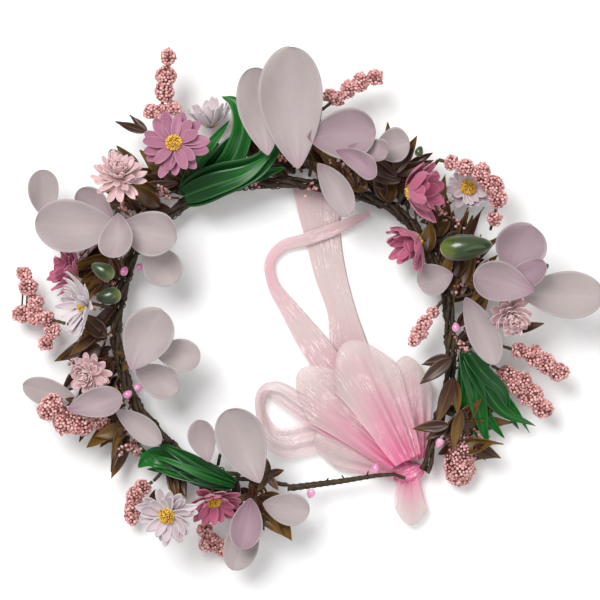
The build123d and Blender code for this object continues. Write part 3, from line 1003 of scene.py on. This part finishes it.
# ------------------------------------------------------------------ hoop
@dataclass
class Hoop:
    """Taped stem wires twisted into an open hoop, bound with thread."""

    tape: bpy.types.Material
    thread: bpy.types.Material
    strands: int = 4
    strand_radius: float = 1.25
    lay: float = 2.0
    pitch: float = 62.0
    wrap_pitch: float = 15.0

    def middle(self, count: int = 420) -> np.ndarray:
        """Middle line of the bundle, read from the core wire by its angle round the opening."""
        core = self.vertices("hoop_core_wire")
        turn = np.mod(np.arctan2(core[:, 1], core[:, 0]) + np.radians(46), 2 * np.pi)
        bins = np.round(turn * 180).astype(int)
        total = np.bincount(bins)
        used = np.nonzero(total)[0]
        where = np.linspace(used[0], used[-1], count)
        line = [np.interp(where, used, (np.bincount(bins, core[:, k])[used] / total[used])) for k in range(3)]
        line = np.stack(line, axis=-1)
        kernel = np.ones(9) / 9
        padded = np.vstack([np.repeat(line[:1], 4, 0), line, np.repeat(line[-1:], 4, 0)])
        line = np.stack([np.convolve(padded[:, k], kernel, "valid") for k in range(3)], axis=-1)
        out = line * np.array([1, 1, 0])
        out /= np.linalg.norm(out, axis=1, keepdims=True)
        return line + 2.4 * out + np.array([0, 0, 1.0])

    @staticmethod
    def vertices(node: str) -> np.ndarray:
        """A CAD node's vertices in millimetres."""
        mesh = frame["nodes"][node].data
        flat = np.empty(len(mesh.vertices) * 3)
        mesh.vertices.foreach_get("co", flat)
        return flat.reshape(-1, 3) / MM

    def build(self) -> None:
        """Make strands, thread and the bare arm."""
        line = self.middle()
        _, side, up = frames(line)
        reach = np.concatenate([[0], np.cumsum(np.linalg.norm(np.diff(line, axis=0), axis=1))])
        skin = Skin()
        for k in range(self.strands):
            turn = (2 * np.pi * (reach / self.pitch + k / self.strands))[:, None]
            path = line + self.lay * (np.cos(turn) * side + np.sin(turn) * up)
            start = 14 if k == 1 else 0
            stop = len(line) - 26 * k
            rough = 1 + 0.07 * np.sin(reach * 2.1 + k) + 0.05 * np.sin(reach * 5.3)
            skin.add(tube(path[start:stop], (self.strand_radius * rough)[start:stop], 9), 0.5, True)
        nodes = ("hoop_core_wire", "hoop_top_strand", "hoop_outer_strand")
        skin.build("hoop_taped_strands", self.tape, "root", nodes, "brown_tape")
        wraps = Skin()
        for hand in (1, -1):
            dense = np.linspace(20, len(line) - 12, 2600)
            base = np.stack([np.interp(dense, np.arange(len(line)), line[:, k]) for k in range(3)], -1)
            _, side, up = frames(base)
            along = np.interp(dense, np.arange(len(line)), reach)
            turn = (2 * np.pi * hand * along / self.wrap_pitch + 0.8 * np.sin(along / 17))[:, None]
            path = base + 3.45 * (np.cos(turn) * side + np.sin(turn) * up)
            wraps.add(tube(path, 0.33, 5), 0.5, True)
        wraps.build("hoop_thread_wraps", self.thread, "root", ("hoop_binding_thread",), "binding_thread")
        self.build_arm()

    def build_arm(self) -> None:
        """The bare arm: the middle of its CAD wire by X, tapered and knobbly, hooked at the tip."""
        wire = self.vertices("hoop_bare_arm")
        x = np.linspace(wire[:, 0].min() - 3, 66.5, 90)
        y = np.interp(x, [4.2, 30, 50, 60, 67], [-85.2, -81.8, -78.6, -77.8, -80.2])
        z = np.full_like(x, 15.0)
        taper = np.interp(x, [4, 30, 50, 67], [1.9, 1.55, 1.2, 0.95])
        lumps = 1 + 0.08 * np.sin(x * 1.7) + 0.06 * np.sin(x * 3.9 + 1)
        skin = Skin()
        skin.add(tube(np.stack([x, y, z], -1), taper * lumps, 10), 0.5, True)
        for spot, lean in ((22, 60), (33, 120), (45, 75)):
            start = np.array([spot, np.interp(spot, x, y), 15.0])
            end = start + np.array([np.cos(np.radians(lean)) * 3.5, np.sin(np.radians(lean)) * 3.5, 1.5])
            skin.add(tube(np.linspace(start, end, 6), np.linspace(0.6, 0.35, 6), 6), 0.5, True)
        skin.build("hoop_arm_tape", self.tape, "bare_arm", ("hoop_bare_arm",), "brown_tape")


# ------------------------------------------------------------------ ribbon
@dataclass
class Ribbon:
    """One piece of the organza bow, as a strip along a path.

    Each row of the path is x, y, z, half width, roll in degrees, gather from 0 to 1.
    """

    name: str
    path: list[tuple[float, float, float, float, float, float]]
    node: str
    flat: tuple[float, float]
    held: str
    rests: str
    material: bpy.types.Material
    body: str = "root"
    pleats: float = 5.0
    doubled: bool = False
    rows: int = 90
    cols: int = 41

    def build(self) -> bpy.types.Object:
        """A strip across the path, rolled, whose pleats take up the width that it has to spare.

        A pleat's height is the spare width over four times the number of pleats, where the spare
        width is the root of the cut width squared less the present width squared.
        """
        rows = smooth(np.array(self.path, dtype=float), self.rows)
        line, half, roll, gather = rows[:, :3], rows[:, 3:4], np.radians(rows[:, 4:5]), rows[:, 5]
        tangent, side, up = frames(line)
        lean = np.cos(roll) * side + np.sin(roll) * up
        over = np.cross(tangent, lean)
        s = np.linspace(-1, 1, self.cols)[None, :]
        along = np.linspace(0, 1, self.rows)[:, None]
        across = half * s
        spare = np.sqrt(np.maximum(self.flat[0] ** 2 - (2 * half) ** 2, 0))
        lift = spare / (4 * self.pleats) * np.sin(np.pi * self.pleats * s + 1.2 * np.sin(2.5 * along))
        if self.doubled:
            across = half * (2 * np.abs(s) - 1)
            lift = 0.35 * np.sign(s) * np.minimum(1, 6 * np.abs(s)) + 0.35 * np.sin(7 * along)
        grid = line[:, None] + across[..., None] * lean[:, None] + lift[..., None] * over[:, None]
        grid[..., 2] = np.maximum(grid[..., 2], 0.35)
        skin = Skin()
        skin.add(grid, np.repeat(gather[None, :, None], self.cols, axis=2))
        piece = skin.build(self.name, self.material, self.body, (self.node,), "pink_organza")
        flat = (self.flat[0] * MM, self.flat[1] * MM)
        length = np.linalg.norm(np.diff(line, axis=0), axis=1).sum()
        LOG.info("%s length %.0f mm", self.name, length)
        return piece


@dataclass
class BowLoop:
    """A soft rounded loop of the bow, lying over from the knot.

    With t from 0 to 1 out along the lower layer and back along the upper, and s across from -1
    to 1: reach is length sin(pi t)(1 - 0.30 s^2 sin(pi t)), half width grows from the gathered
    one as sin(pi t)^0.6, and height rises by the loop's depth with a crown in the middle.
    """

    name: str
    root: tuple[float, float, float]
    length: float
    half: float
    depth: float
    heading: float
    node: str
    material: bpy.types.Material
    phase: float = 0.0
    cut: float = 38.0
    gathered: float = 5.0
    pleats: float = 3.0
    rows: int = 120
    cols: int = 61

    def build(self) -> bpy.types.Object:
        """Make the loop."""
        t = np.linspace(0.02, 0.98, self.rows)[:, None]
        s = np.linspace(-1, 1, self.cols)[None, :]
        out = np.sin(np.pi * t)
        half = self.gathered + (self.half - self.gathered) * out**0.6
        spare = np.sqrt(np.maximum(self.cut**2 - (2 * half) ** 2, 0))
        bent = s + 0.22 * np.sin(2.6 * s + self.phase) + 0.10 * np.sin(5 * t + self.phase)
        fold = spare / (4 * self.pleats) * np.sin(np.pi * self.pleats * bent)
        crease = 0.9 * np.sin(2.2 * s + 7 * t + self.phase) + 0.35 * np.sin(7 * s - 9 * t + 2 * self.phase)
        x = self.length * out * (1 - 0.30 * s**2 * out) + 0 * s
        y = s * half + 2.2 * np.sin(3.3 * t + self.phase) * out
        z = self.depth * (0.5 - 0.5 * np.cos(np.pi * t)) + 3.5 * t * out * (1 - s**2)
        z = z + fold * (1 - out**0.5) ** 0.8 + crease * out
        grid = set_at(np.stack([x, y, z], axis=-1), turned(self.heading), self.root)
        grid[..., 2] = np.maximum(grid[..., 2], 0.35)
        skin = Skin()
        skin.add(grid, np.clip(1.0 - 1.15 * out**0.8 + 0.10 * np.sin(3 * s + self.phase), 0, 1)[None])
        replaced = (self.node,) if self.node else ()
        piece = skin.build(self.name, self.material, "root", replaced, "pink_organza")
        flat = (self.cut * MM, 2.1 * self.length * MM)
        return piece


# ------------------------------------------------------------------ studio
@dataclass
class Studio:
    """Pale floor, soft lights and the camera above the crown."""

    centre: tuple[float, float] = (8.0, 19.0)
    height: float = 1300.0
    frame_width: float = 330.0
    subject_height: float = 28.0

    def build(self) -> None:
        """Make floor, lights, world and camera."""
        mesh = bpy.data.meshes.new("studio_floor")
        side = 3.0
        corners = [(-side, -side, 0), (side, -side, 0), (side, side, 0), (-side, side, 0)]
        mesh.from_pydata(corners, [], [(0, 1, 2, 3)])
        floor = bpy.data.objects.new("studio_floor", mesh)
        bpy.context.scene.collection.objects.link(floor)
        paint = Paint("studio_floor_white", Roughness=0.9)
        grain = paint.noise(paint.place(), 40.0)
        mesh.materials.append(paint.finish(paint.mix(grain, srgb(246, 246, 246), srgb(252, 252, 252))))
        floor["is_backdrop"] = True
        bpy.context.scene.view_settings.view_transform = "Standard"
        self.light("key_light", (-0.45, 0.6, 1.3), 0.7, 19.0)
        self.light("fill_light", (0.9, -0.5, 1.3), 1.4, 6.0)
        world = bpy.data.worlds.new("studio_world")
        world.use_nodes = True
        world.node_tree.nodes["Background"].inputs[0].default_value = (1.0, 1.0, 1.0, 1.0)
        world.node_tree.nodes["Background"].inputs[1].default_value = 0.52
        bpy.context.scene.world = world
        data = bpy.data.cameras.new("camera")
        distance = self.height - self.subject_height
        data.sensor_width = 36.0
        data.lens = data.sensor_width * distance / self.frame_width
        camera = bpy.data.objects.new("camera", data)
        camera.location = (self.centre[0] * MM, self.centre[1] * MM, self.height * MM)
        bpy.context.scene.collection.objects.link(camera)
        bpy.context.scene.camera = camera

    @staticmethod
    def light(name: str, place: tuple[float, float, float], size: float, power: float) -> None:
        """A square soft light aimed at the crown."""
        from mathutils import Vector

        data = bpy.data.lights.new(name, "AREA")
        data.size, data.energy = size, power
        lamp = bpy.data.objects.new(name, data)
        lamp.location = place
        lamp.rotation_euler = (-Vector(place)).to_track_quat("-Z", "Y").to_euler()
        bpy.context.scene.collection.objects.link(lamp)


# ------------------------------------------------------------------ the crown
def finishes() -> dict[str, bpy.types.Material]:
    """Every finish of the crown by name."""
    made = [
        PetalCloth("frosted_petal", srgb(178, 168, 165), srgb(148, 98, 128), srgb(198, 190, 187),
                   0.40, 3.0, 0.08, 0.6, 0.2, 0.86),
        PetalCloth("pink_petal", srgb(176, 120, 144), srgb(118, 48, 82), srgb(196, 148, 168), 0.5, 2.0, 0.5),
        PetalCloth("rose_petal", srgb(198, 104, 136), srgb(128, 40, 74), srgb(214, 142, 164), 0.5, 2.0, 0.5),
        PetalCloth("white_petal", srgb(218, 206, 210), srgb(146, 116, 128), srgb(240, 234, 234),
                   0.34, 2.0, 0.5),
        PetalCloth("mum_petal", srgb(230, 200, 198), srgb(158, 84, 120), srgb(246, 226, 220), 0.5, 2.0, 0.4),
        BeadSkin(),
        # each leaf's third colour is for its veins and a painted highlight along its rim
        MouldedLeaf("green_leaf", srgb(4, 52, 16), srgb(18, 100, 26), srgb(50, 124, 50), 0.32),
        MouldedLeaf("brown_leaf", srgb(48, 24, 18), srgb(108, 80, 30), srgb(124, 78, 40), 0.34, 3.0),
        WrappedTape("brown_tape", srgb(26, 18, 14), srgb(84, 64, 40)),
        WrappedTape("binding_thread", srgb(24, 18, 14), srgb(64, 50, 32), 0.7),
        WrappedTape("olive_twig", srgb(52, 34, 24), srgb(102, 82, 44), 0.5),
        Lacquer("green_bud", srgb(104, 122, 22), srgb(10, 40, 16), 0.25),
        Lacquer("pearl", srgb(240, 212, 226), srgb(222, 130, 180), 0.14, 0.8),
        Flock(),
        Organza("pink_organza", srgb(218, 199, 196), srgb(232, 112, 160)),
    ]  # fmt: skip
    return {finish.name: finish.make() for finish in made}


def magnolias(paints: dict[str, bpy.types.Material]) -> list[Magnolia]:
    """The seven magnolias."""
    data = {
        "left": ((-92, 60, 24), [
            Petal(-114, 60, 38, 45, 29, 178, 8, 0, 0.6, 0, 1.2, 0.15),
            Petal(-134, 77, 26, 27, 18, 100, 5, 25, 0.5, 0, 0.6, 0.05),
            Petal(-74, 56, 40, 33, 25, -12, 12, 0, 0.7, -2, 1.6, 0.1),
            Petal(-69, 39, 32, 26, 21, -60, -12, 0, 0.5, 0, 0.8, 0.05),
            Petal(-91, 53, 46, 25, 19, -95, 8, 8, 0.9, 2, 1.2, 0.25),
            Petal(-104, 70, 33, 26, 16, 140, 5, 0, 0.7, 0, 1.0, 0.45),
        ]),
        "top": ((15, 106, 26), [
            Petal(4, 124, 48, 66, 35, 94, 14, 4, 0.55, -4, 1.6, 0.08),
            Petal(-13, 122, 40.5, 48, 25, 102, 8, -6, 0.6, -2, 1.0, 0.04),
            Petal(31, 110, 42, 37, 28, 5, 6, 6, 0.9, -3, 2.2, 0.75),
            Petal(58, 103, 34, 20, 19, 10, 0, 0, 0.5, 0, 0.8, 0.2),
            Petal(27, 81, 36, 33, 16, -56, -10, 14, 0.6, 3, 1.4, 0.2),
            Petal(40, 95, 52, 26, 13, -28, 6, 25, 0.8, 3, 1.8, 0.9),
            Petal(45, 99, 44, 22, 15, -10, 6, -20, 0.8, 1, 2.4, 0.5),
        ]),
        "right": ((108, 26, 26), [
            Petal(128, 47, 40, 30, 28, 65, 15, 0, 0.8, -3, 1.8, 0.8),
            Petal(150.5, 22, 36, 45, 26, 2, 0, 0, 0.6, 0, 1.2, 0.02),
            Petal(117, 28, 49, 34, 22, 165, 8, 0, 0.7, -1, 1.4, 0.6),
            Petal(107, 4, 32, 41, 17, -66, -12, 10, 0.6, 2, 1.0, 0.2),
            Petal(83, 31, 21, 20, 18, 195, -5, 0, 0.5, 0, 0.5, 0.3),
            Petal(131, 32, 42, 26, 15, 28, 10, -15, 0.8, 1, 1.5, 0.95),
        ]),
        "inner_left": ((-84, -12, 24), [
            Petal(-75, -2, 40, 37, 27, 62, 10, 0, 0.6, -2, 1.2, 0.1),
            Petal(-59, -11, 32, 25, 18, -2, 0, 0, 0.6, 0, 0.9, 0.05),
            Petal(-71, -24, 28, 27, 18, -30, -10, 0, 0.6, 0, 0.9, 0.1),
        ]),
        "lower_left": ((-112, -38, 20), [
            Petal(-130, -32, 18, 31, 15, 165, -5, 0, 0.5, 0, 0.8, 0.1),
            Petal(-103, -37, 36, 31, 17, 15, 8, 0, 0.9, -2, 1.4, 0.45),
            Petal(-80.5, -49, 30, 31, 14, -38, -8, 12, 0.7, 0, 0.8, 0.1),
        ]),
        "inner_bottom": ((-10, -78, 22), [
            Petal(-45, -58, 30, 24, 15, 105, 5, 0, 0.6, 0, 0.6, 0.3),
            Petal(-23, -60, 36, 44, 27, 116, 8, 0, 0.6, -2, 1.4, 0.04),
        ]),
        "outer_bottom": ((-18, -92, 20), [
            Petal(-24, -113, 22, 34, 19, -105, -8, 0, 0.6, 0, 0.8, 0.1),
            Petal(-21, -103, 31, 28, 18, -96, 0, 0, 0.9, 0, 1.0, 1.0),
            Petal(0, -95, 27, 26, 18, -12, -5, 0, 0.5, 0, 0.8, 0.1),
        ]),
    }  # fmt: skip
    return [
        Magnolia(side, petals, root, paints["frosted_petal"], paints["brown_leaf"])
        for side, (root, petals) in data.items()
    ]


def daisies(paints: dict[str, bpy.types.Material]) -> list[Daisy | EyeFlock]:
    """The nine daisies and three mums."""
    pink, rose, white, mum = (paints[f"{name}_petal"] for name in ("pink", "rose", "white", "mum"))
    eye = Skin()
    many = {
        "layers": (1.0, 0.92, 0.78, 0.6), "rises": (6.0, 24.0, 44.0, 64.0), "count": 15, "petal_width": 4.6
    }  # fmt: skip
    half = {"rises": (26.0, 40.0), "layers": (1.12, 0.95)}
    shut = {"rises": (38.0, 52.0), "layers": (1.0, 0.85)}
    strap = {"outline": Outline.STRAP, "notch": 1.2}
    return [
        Daisy("pink_daisy_top_left", (-60, 103, 46), 20, 14, 100, pink, eye, "pink_petal", seed=1,
              petal_width=6.8, groove=1.2, count=12, rises=(3.0, 9.0)),
        Daisy("pink_daisy_top_right", (64, 78, 36), 26, 66, 0, rose, eye, "pink_petal", seed=2,
              petal_width=8.6, groove=1.4, count=12, **shut),
        Daisy("pink_daisy_inner_right", (75, 55, 26), 22, 66, 218, rose, eye, "pink_petal", seed=3,
              petal_width=7.4, groove=1.4, count=12, **shut),
        Daisy("pink_daisy_left", (-114, 32, 18), 20, 64, 155, rose, eye, "pink_petal", seed=4,
              petal_width=7.0, groove=1.2, count=12, **shut),
        Daisy("pink_daisy_bottom", (-40, -88, 26), 17, 50, 280, rose, eye, "pink_petal", seed=5,
              petal_width=6.0, groove=1.0, count=12, **half),
        Daisy("white_daisy_top_left", (-41, 113, 15), 21, 74, 96, white, eye, "white_petal",
              petal_width=5.0, count=12, seed=6, **shut, **strap),
        Daisy("white_daisy_right", (101, 80, 12), 15, 20, 70, white, eye, "white_petal",
              petal_width=5.0, seed=7, **strap),
        Daisy("white_daisy_left", (-106, 17, 40), 22, 68, 192, white, eye, "white_petal",
              petal_width=4.6, seed=8, outline=Outline.STRAP, count=13, rises=(22.0, 34.0)),
        Daisy("white_daisy_bottom_left", (-64, -97, 40), 19, 18, 250, white, eye, "white_petal",
              petal_width=5.6, seed=9, groove=1.0, **strap),
        Daisy("mum_upper_left", (-90, 84, 50), 17, 35, 85, mum, None, "mum_petal", seed=10, **many),
        Daisy("mum_right", (123, 12, 34), 13, 30, -80, mum, None, "mum_petal", seed=11, **many),
        Daisy("mum_lower_left", (-107, -22, 26), 13, 20, 200, mum, None, "mum_petal", seed=12, **many),
        EyeFlock(eye, paints["daisy_eye"]),
    ]  # fmt: skip


def sprays(paints: dict[str, bpy.types.Material]) -> list[BerrySpray]:
    """The eleven berry sprays."""
    data = {
        "top_left": ([(-70, 112, 20), (-67, 136, 24), (-64, 156, 32)],
                     [(0.25, 4.5), (0.48, 5.5), (0.7, 5.5), (0.92, 4.5)],
                     [((-74, 123, 22), 4.0), ((-62, 125, 22), 4.0)]),
        "top": ([(20, 124, 22), (37, 137, 25), (52, 143, 29)],
                [(0.3, 4.0), (0.5, 4.5), (0.7, 5.0), (0.93, 4.5)], [((25, 132, 23), 3.6)]),
        "right_top": ([(84, 96, 30), (106, 90, 32), (118, 78, 30), (113, 58, 26)],
                      [(0.12, 4.0), (0.27, 4.5), (0.42, 5.5), (0.57, 5.5), (0.72, 5.0), (0.9, 4.0)], []),
        "inner_right": ([(86, 18, 23), (78, 8, 25), (71, -4, 21)],
                        [(0.3, 3.2), (0.55, 4.0), (0.8, 4.5), (0.97, 3.5)], []),
        "right_outer": ([(118, -6, 22), (138, -12, 24), (154, -23, 22)],
                        [(0.3, 4.5), (0.5, 5.5), (0.72, 5.5), (0.93, 5.0)], []),
        "right_lower": ([(114, -17, 20), (131, -28, 20), (145, -44, 16)],
                        [(0.25, 5.0), (0.45, 6.5), (0.68, 6.5), (0.92, 5.5)], []),
        "bottom_right": ([(94, -50, 13), (97, -66, 9.7), (96, -82, 9)],
                         [(0.25, 6.5), (0.5, 9.5), (0.75, 8.5), (0.93, 6.0)], [((106, -62, 9), 5.0)]),
        "left": ([(-122, 6, 18), (-136, 10, 18), (-149, 12, 14)],
                 [(0.4, 4.5), (0.65, 5.0), (0.92, 5.0)],
                 [((-130, 2, 17), 4.5), ((-133, -5, 16), 4.0), ((-139, 18, 18), 4.5), ((-143, 26, 19), 5.0),
                  ((-145, 33, 19), 4.0)]),
        "lower_left": ([(-100, -45, 20), (-116, -50, 27), (-131, -38, 33)],
                       [(0.15, 5.5), (0.4, 7.0), (0.65, 7.5), (0.93, 7.0)], []),
        "bottom_left": ([(-74, -82, 16), (-84, -88, 14), (-86, -104, 11)],
                        [(0.25, 4.5), (0.5, 5.0), (0.75, 5.0), (0.94, 4.0)], []),
        "bottom": ([(-46, -104, 13), (-44, -116, 10), (-26, -122, 6)],
                   [(0.2, 4.5), (0.45, 5.5), (0.7, 5.0), (0.94, 4.5)], []),
    }  # fmt: skip
    bodies = frame["bodies"]
    return [
        BerrySpray(name, path, knobs, side, paints["berry_beads"], paints["olive_twig"],
                   f"berry_spray_{name}" if f"berry_spray_{name}" in bodies else "root", seed=len(name))
        for name, (path, knobs, side) in data.items()
    ]  # fmt: skip


def foliage(paints: dict[str, bpy.types.Material]) -> list[GrassPick | LeafCluster]:
    """Grass-leaf picks and brown leaves."""
    green, brown = paints["green_leaf"], paints["brown_leaf"]
    leaves = {
        "top_right": [
            (60, 88, 26, 22, 7, 20, 5), (60, 88, 28, 24, 7, 60, 12), (58, 90, 26, 26, 7, 95, 8),
            (62, 86, 28.5, 20, 6, 140, 3), (64, 84, 27, 24, 7, 165, 5), (60, 90, 30, 18, 6, 80, 5),
            (62, 84, 20.5, 18, 6, -30, 0), (66, 92, 24, 16, 5, 30, 0),
        ],
        "right": [
            (92, -13, 27, 22, 8, 218, 0), (91, -50, 24, 20, 7, 186, 0), (93, -23, 26.5, 28, 8, 250, -8),
            (122, 2, 25, 20, 6, 12, 8), (104, -60, 21, 16, 6, -30, -10), (96, -40, 26, 24, 7, 262, -8),
        ],
        "left": [
            (-76, 111, 24, 18, 5, 160, 5), (-80, 88, 21.5, 20, 8, 130, 0), (-98, -2, 24, 20, 10, 140, 0),
            (-98, -14, 22, 20, 8, 200, -5), (-92, 30, 24, 16, 6, 110, 10), (-88, -50, 23, 18, 9, 200, -5),
        ],
        "bottom": [
            (-18, -88, 21, 22, 7, 240, -5), (-17, -88, 24, 20, 6, 285, -5), (-14, -88, 22, 20, 7, 320, -5),
            (-70, -84, 26, 18, 6, 250, 0),
        ],
    }  # fmt: skip
    picks = [
        GrassPick("top", [
            ([(-56, 76, 23), (-38, 84, 28), (-16, 92, 33), (2, 111, 30)], 19, 0.35),
            ([(-55, 77, 22), (-34, 90, 26), (-24, 110, 30), (-27, 126, 30), (-35, 131, 27)], 13, 0.75),
            ([(-56, 76, 20), (-42, 88, 22), (-30, 104, 26), (-20, 116, 28)], 15, 0.15),
            ([(-56, 76, 25), (-40, 82, 31), (-22, 88, 36), (-8, 98, 36)], 13, 0.55),
            ([(-54, 77, 19), (-34, 83, 22), (-14, 88, 26), (0, 92, 26)], 10, 0.3),
            ([(-57, 77, 21), (-50, 92, 24), (-40, 106, 26), (-31, 118, 24)], 8, 0.9),
        ], green),
        GrassPick("right", [
            ([(99, -10, 24), (104, -28, 24), (108, -46, 19), (113, -62, 12)], 11, 0.7),
            ([(100, -10, 23), (108, -26, 24), (120, -42, 19), (139, -51, 12)], 10, 0.5),
            ([(100, -10, 22), (108, -24, 22), (118, -36, 19), (130, -53, 11)], 11, 0.2),
            ([(99, -10, 22), (101, -28, 22), (101, -44, 16), (107, -58, 11)], 8, 0.9),
            ([(100, -10, 25), (110, -22, 26), (120, -32, 22), (124, -46, 15)], 9, 0.35),
            ([(99, -11, 21), (103, -30, 20), (112, -46, 15), (122, -58, 9)], 9, 0.8),
            ([(99, -11, 20), (98, -30, 20), (96, -42, 16), (99, -54, 12)], 7, 0.3),
            ([(101, -12, 21), (112, -26, 20), (126, -40, 15), (136, -55, 9)], 5, 1.0),
        ], green),
        GrassPick("bottom_left", [
            ([(-28, -83, 22), (-44, -74, 26), (-58, -66, 26), (-71, -60, 22)], 9, 0.3),
            ([(-28, -83, 23), (-48, -80, 24), (-70, -74, 20), (-88, -61, 14)], 5, 0.6),
            ([(-30, -83, 21), (-48, -77, 22), (-64, -70, 20), (-80, -68, 15)], 11, 0.15),
            ([(-30, -83, 20), (-46, -80, 20), (-60, -76, 18), (-77, -75, 14)], 9, 0.35),
            ([(-28, -83, 25), (-46, -77, 28), (-60, -71, 27), (-76, -66, 22)], 5, 0.9),
            ([(-60, -74, 16), (-70, -71, 16), (-78, -66, 14), (-86, -56, 10)], 4, 1.0),
            ([(-60, -70, 18), (-70, -68, 20), (-76, -69, 19), (-82, -74, 15)], 12, 0.95),
        ], green),
    ]  # fmt: skip
    return picks + [LeafCluster(side, rows, brown) for side, rows in leaves.items()]


def buds(paints: dict[str, bpy.types.Material]) -> list[Buds]:
    """Green pods, small buds and pearl stamen buds."""
    green = [
        (99, 48, 34, 29, 14, 5, 0.3), (-100, 35, 34, 14, 9, 150, 0.2), (-97, 21, 32, 14, 9, 190, 0.5),
        (-94, 98, 28, 9, 8, 120, 0.2), (142, 37, 30, 6, 4.5, 30, 0.1), (73, 100, 40, 6, 4.5, 70, 0.4),
    ]  # fmt: skip
    pearls = [
        (85, -60, 22, 5.5, 4.5, 240, 0.05), (94, 4, 25, 5.5, 4.5, 100, 0.3),
        (14, -88, 21, 5.5, 4.5, 250, 0.1),
        (-87, -33, 24, 5.5, 4.5, 40, 0.6), (-81, -29, 24, 5.5, 4.5, 20, 0.1),
        (-89, 35, 25, 5.5, 4.5, 60, 1.0),
        (-80, 37, 25, 5.5, 4.5, 20, 0.1),
    ]  # fmt: skip
    return [
        Buds("green_buds_skin", "green_buds", green, paints["green_bud"], "green_bud"),
        Buds("pearl_buds_lacquer", "pearl_buds", pearls, paints["pearl"], "pearl"),
        Buds("arm_pearl_lacquer", "arm_pearl_bud", [(50, -74.2, 16, 5.5, 4.5, 80, 0.5)], paints["pearl"],
             "pearl", "bare_arm"),
    ]  # fmt: skip


def ribbons(paints: dict[str, bpy.types.Material]) -> list[Ribbon | BowLoop]:
    """The bow's loops and tails."""
    cloth = paints["pink_organza"]
    return [
        BowLoop("bow_left_loop_cloth", (67, -74, 5), 80, 18, 7, 136, "ribbon_bow_loops", cloth, 0.0),
        BowLoop("bow_front_loop_cloth", (70, -74, 8), 79, 19, 10, 117, "", cloth, 1.3),
        BowLoop("bow_right_loop_cloth", (73, -74, 4), 62, 13, 7, 97, "", cloth, 2.1, 26.0, 4.0),
        BowLoop("bow_lower_lobe_cloth", (69, -76, 3), 56, 13, 4, 163, "", cloth, 3.7, 26.0, 4.0),
        Ribbon("side_loop_cloth", [
            (69, -72, 6, 4, 0, 1), (54, -62, 6, 10, 0, 0.75), (40, -57, 5, 9, 0, 0.45),
            (20, -57, 5, 8.5, 0, 0.2),
            (2, -61, 5, 8.5, 0, 0.1), (-8, -58, 6, 7, 30, 0.1), (-13, -48, 7, 6, 72, 0.15),
            (-14.5, -38, 7, 6, 76, 0.15), (-11, -31.5, 8, 5.5, 50, 0.15), (-4, -32, 9, 6, 12, 0.1),
            (8, -40, 9, 6.5, 0, 0.15), (24, -50, 7, 7, 0, 0.4), (44, -60, 7, 6, 0, 0.7)],
            "ribbon_side_loop", (20, 175), "folded", "ribbon_knot", cloth, pleats=2, cols=41, rows=140),
        BowLoop("short_tail_cloth", (69, -76, 5), 31, 9, 3, 269, "ribbon_short_tail", cloth, 0.6, 18.0, 4.0),
        Ribbon("wide_tail_cloth", [
            (51, -46, 3, 8, 0, 0.5), (42, -24, 2, 9.5, 0, 0.25), (35, -4, 2, 10, 0, 0.1),
            (31, 14, 2.4, 8, 0, 0.05),
            (25, 34, 1.8, 9, 0, 0.05), (21, 54, 1.8, 10, 0, 0.05), (19, 68, 2.4, 12, 0, 0.1),
            (19, 82, 2.2, 15, 0, 0.15)],
            "ribbon_wide_tail", (40, 142), "folded", "ribbon_knot", cloth, "bow_tails", doubled=True),
        Ribbon("narrow_tail_cloth", [
            (44, -42, 4, 7, 0, 0.5), (28, -22, 4, 8.5, 0, 0.25), (13, -2, 4, 7.5, 0, 0.1),
            (2, 14, 4, 5.2, 0, 0.15),
            (-6.6, 27, 4.5, 3.4, 0, 0.25), (-9, 40, 4.8, 2.8, 0, 0.35), (-2, 49, 4.8, 3.2, 0, 0.25),
            (11.6, 53, 4.6, 3.6, 0, 0.15), (27.3, 58.6, 4.6, 3.4, 0, 0.15), (38, 63.5, 4.8, 2.8, 0, 0.2),
            (47, 68, 5, 1.2, 0, 0.3)],
            "ribbon_folded_tail", (20, 165), "folded", "ribbon_wide_tail", cloth, "bow_tails", doubled=True),
    ]  # fmt: skip


def knot(paints: dict[str, bpy.types.Material]) -> None:
    """The tight knot: a ball drawn out sideways, with pleats that run round it."""
    grid = ball(26, 40)
    turn = np.arctan2(grid[..., 1], grid[..., 0])
    pleat = 1 + 0.07 * np.sin(7 * turn + 3 * grid[..., 2]) + 0.04 * np.sin(13 * turn)
    grid = grid[..., [2, 0, 1]] * pleat[..., None] * np.array([8.2, 5.8, 5.0])
    skin = Skin()
    skin.add(set_at(grid, turned(20), (69, -78, 5.8)), 0.95, True)
    skin.build("knot_cloth", paints["pink_organza"], "root", ("ribbon_knot",), "pink_organza")


def main() -> None:
    """Build the crown and its studio in order."""
    logging.basicConfig(level=logging.INFO, format="%(message)s")
    Studio().build()
    paints = finishes()
    hoop = Hoop(paints["brown_tape"], paints["binding_thread"])
    hoop.build()
    berries = sprays(paints)
    clear = np.vstack([spray.line()[:, :2] for spray in berries if spray.body != "root"])
    Underbrush(
        [(-38, 8, 42, 55), (8, 40, 44, 60), (40, 72, 52, 45), (72, 100, 18, 45), (100, 135, 34, 60),
         (135, 165, 40, 65), (165, 200, 46, 60), (200, 240, 36, 60), (240, 266, 16, 80)],
        paints["brown_leaf"], paints["olive_twig"], paints["berry_beads"],
    ).build(hoop.middle(), clear)  # fmt: skip
    blooms = [*magnolias(paints), *daisies(paints)]
    for piece in [*blooms, *berries, *foliage(paints), *buds(paints), *ribbons(paints)]:
        piece.build()
    knot(paints)
    stems = frame["nodes"]["stem_wires"].data
    stems.materials.clear()
    stems.materials.append(paints["brown_tape"])
    boxes = {"cad": CAD_BOX, "visual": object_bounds()}
    boxes = {key: [[round(float(c), 5) for c in corner] for corner in box] for key, box in boxes.items()}
    LOG.info("boxes %s", boxes)


if __name__ == "__main__":
    main()
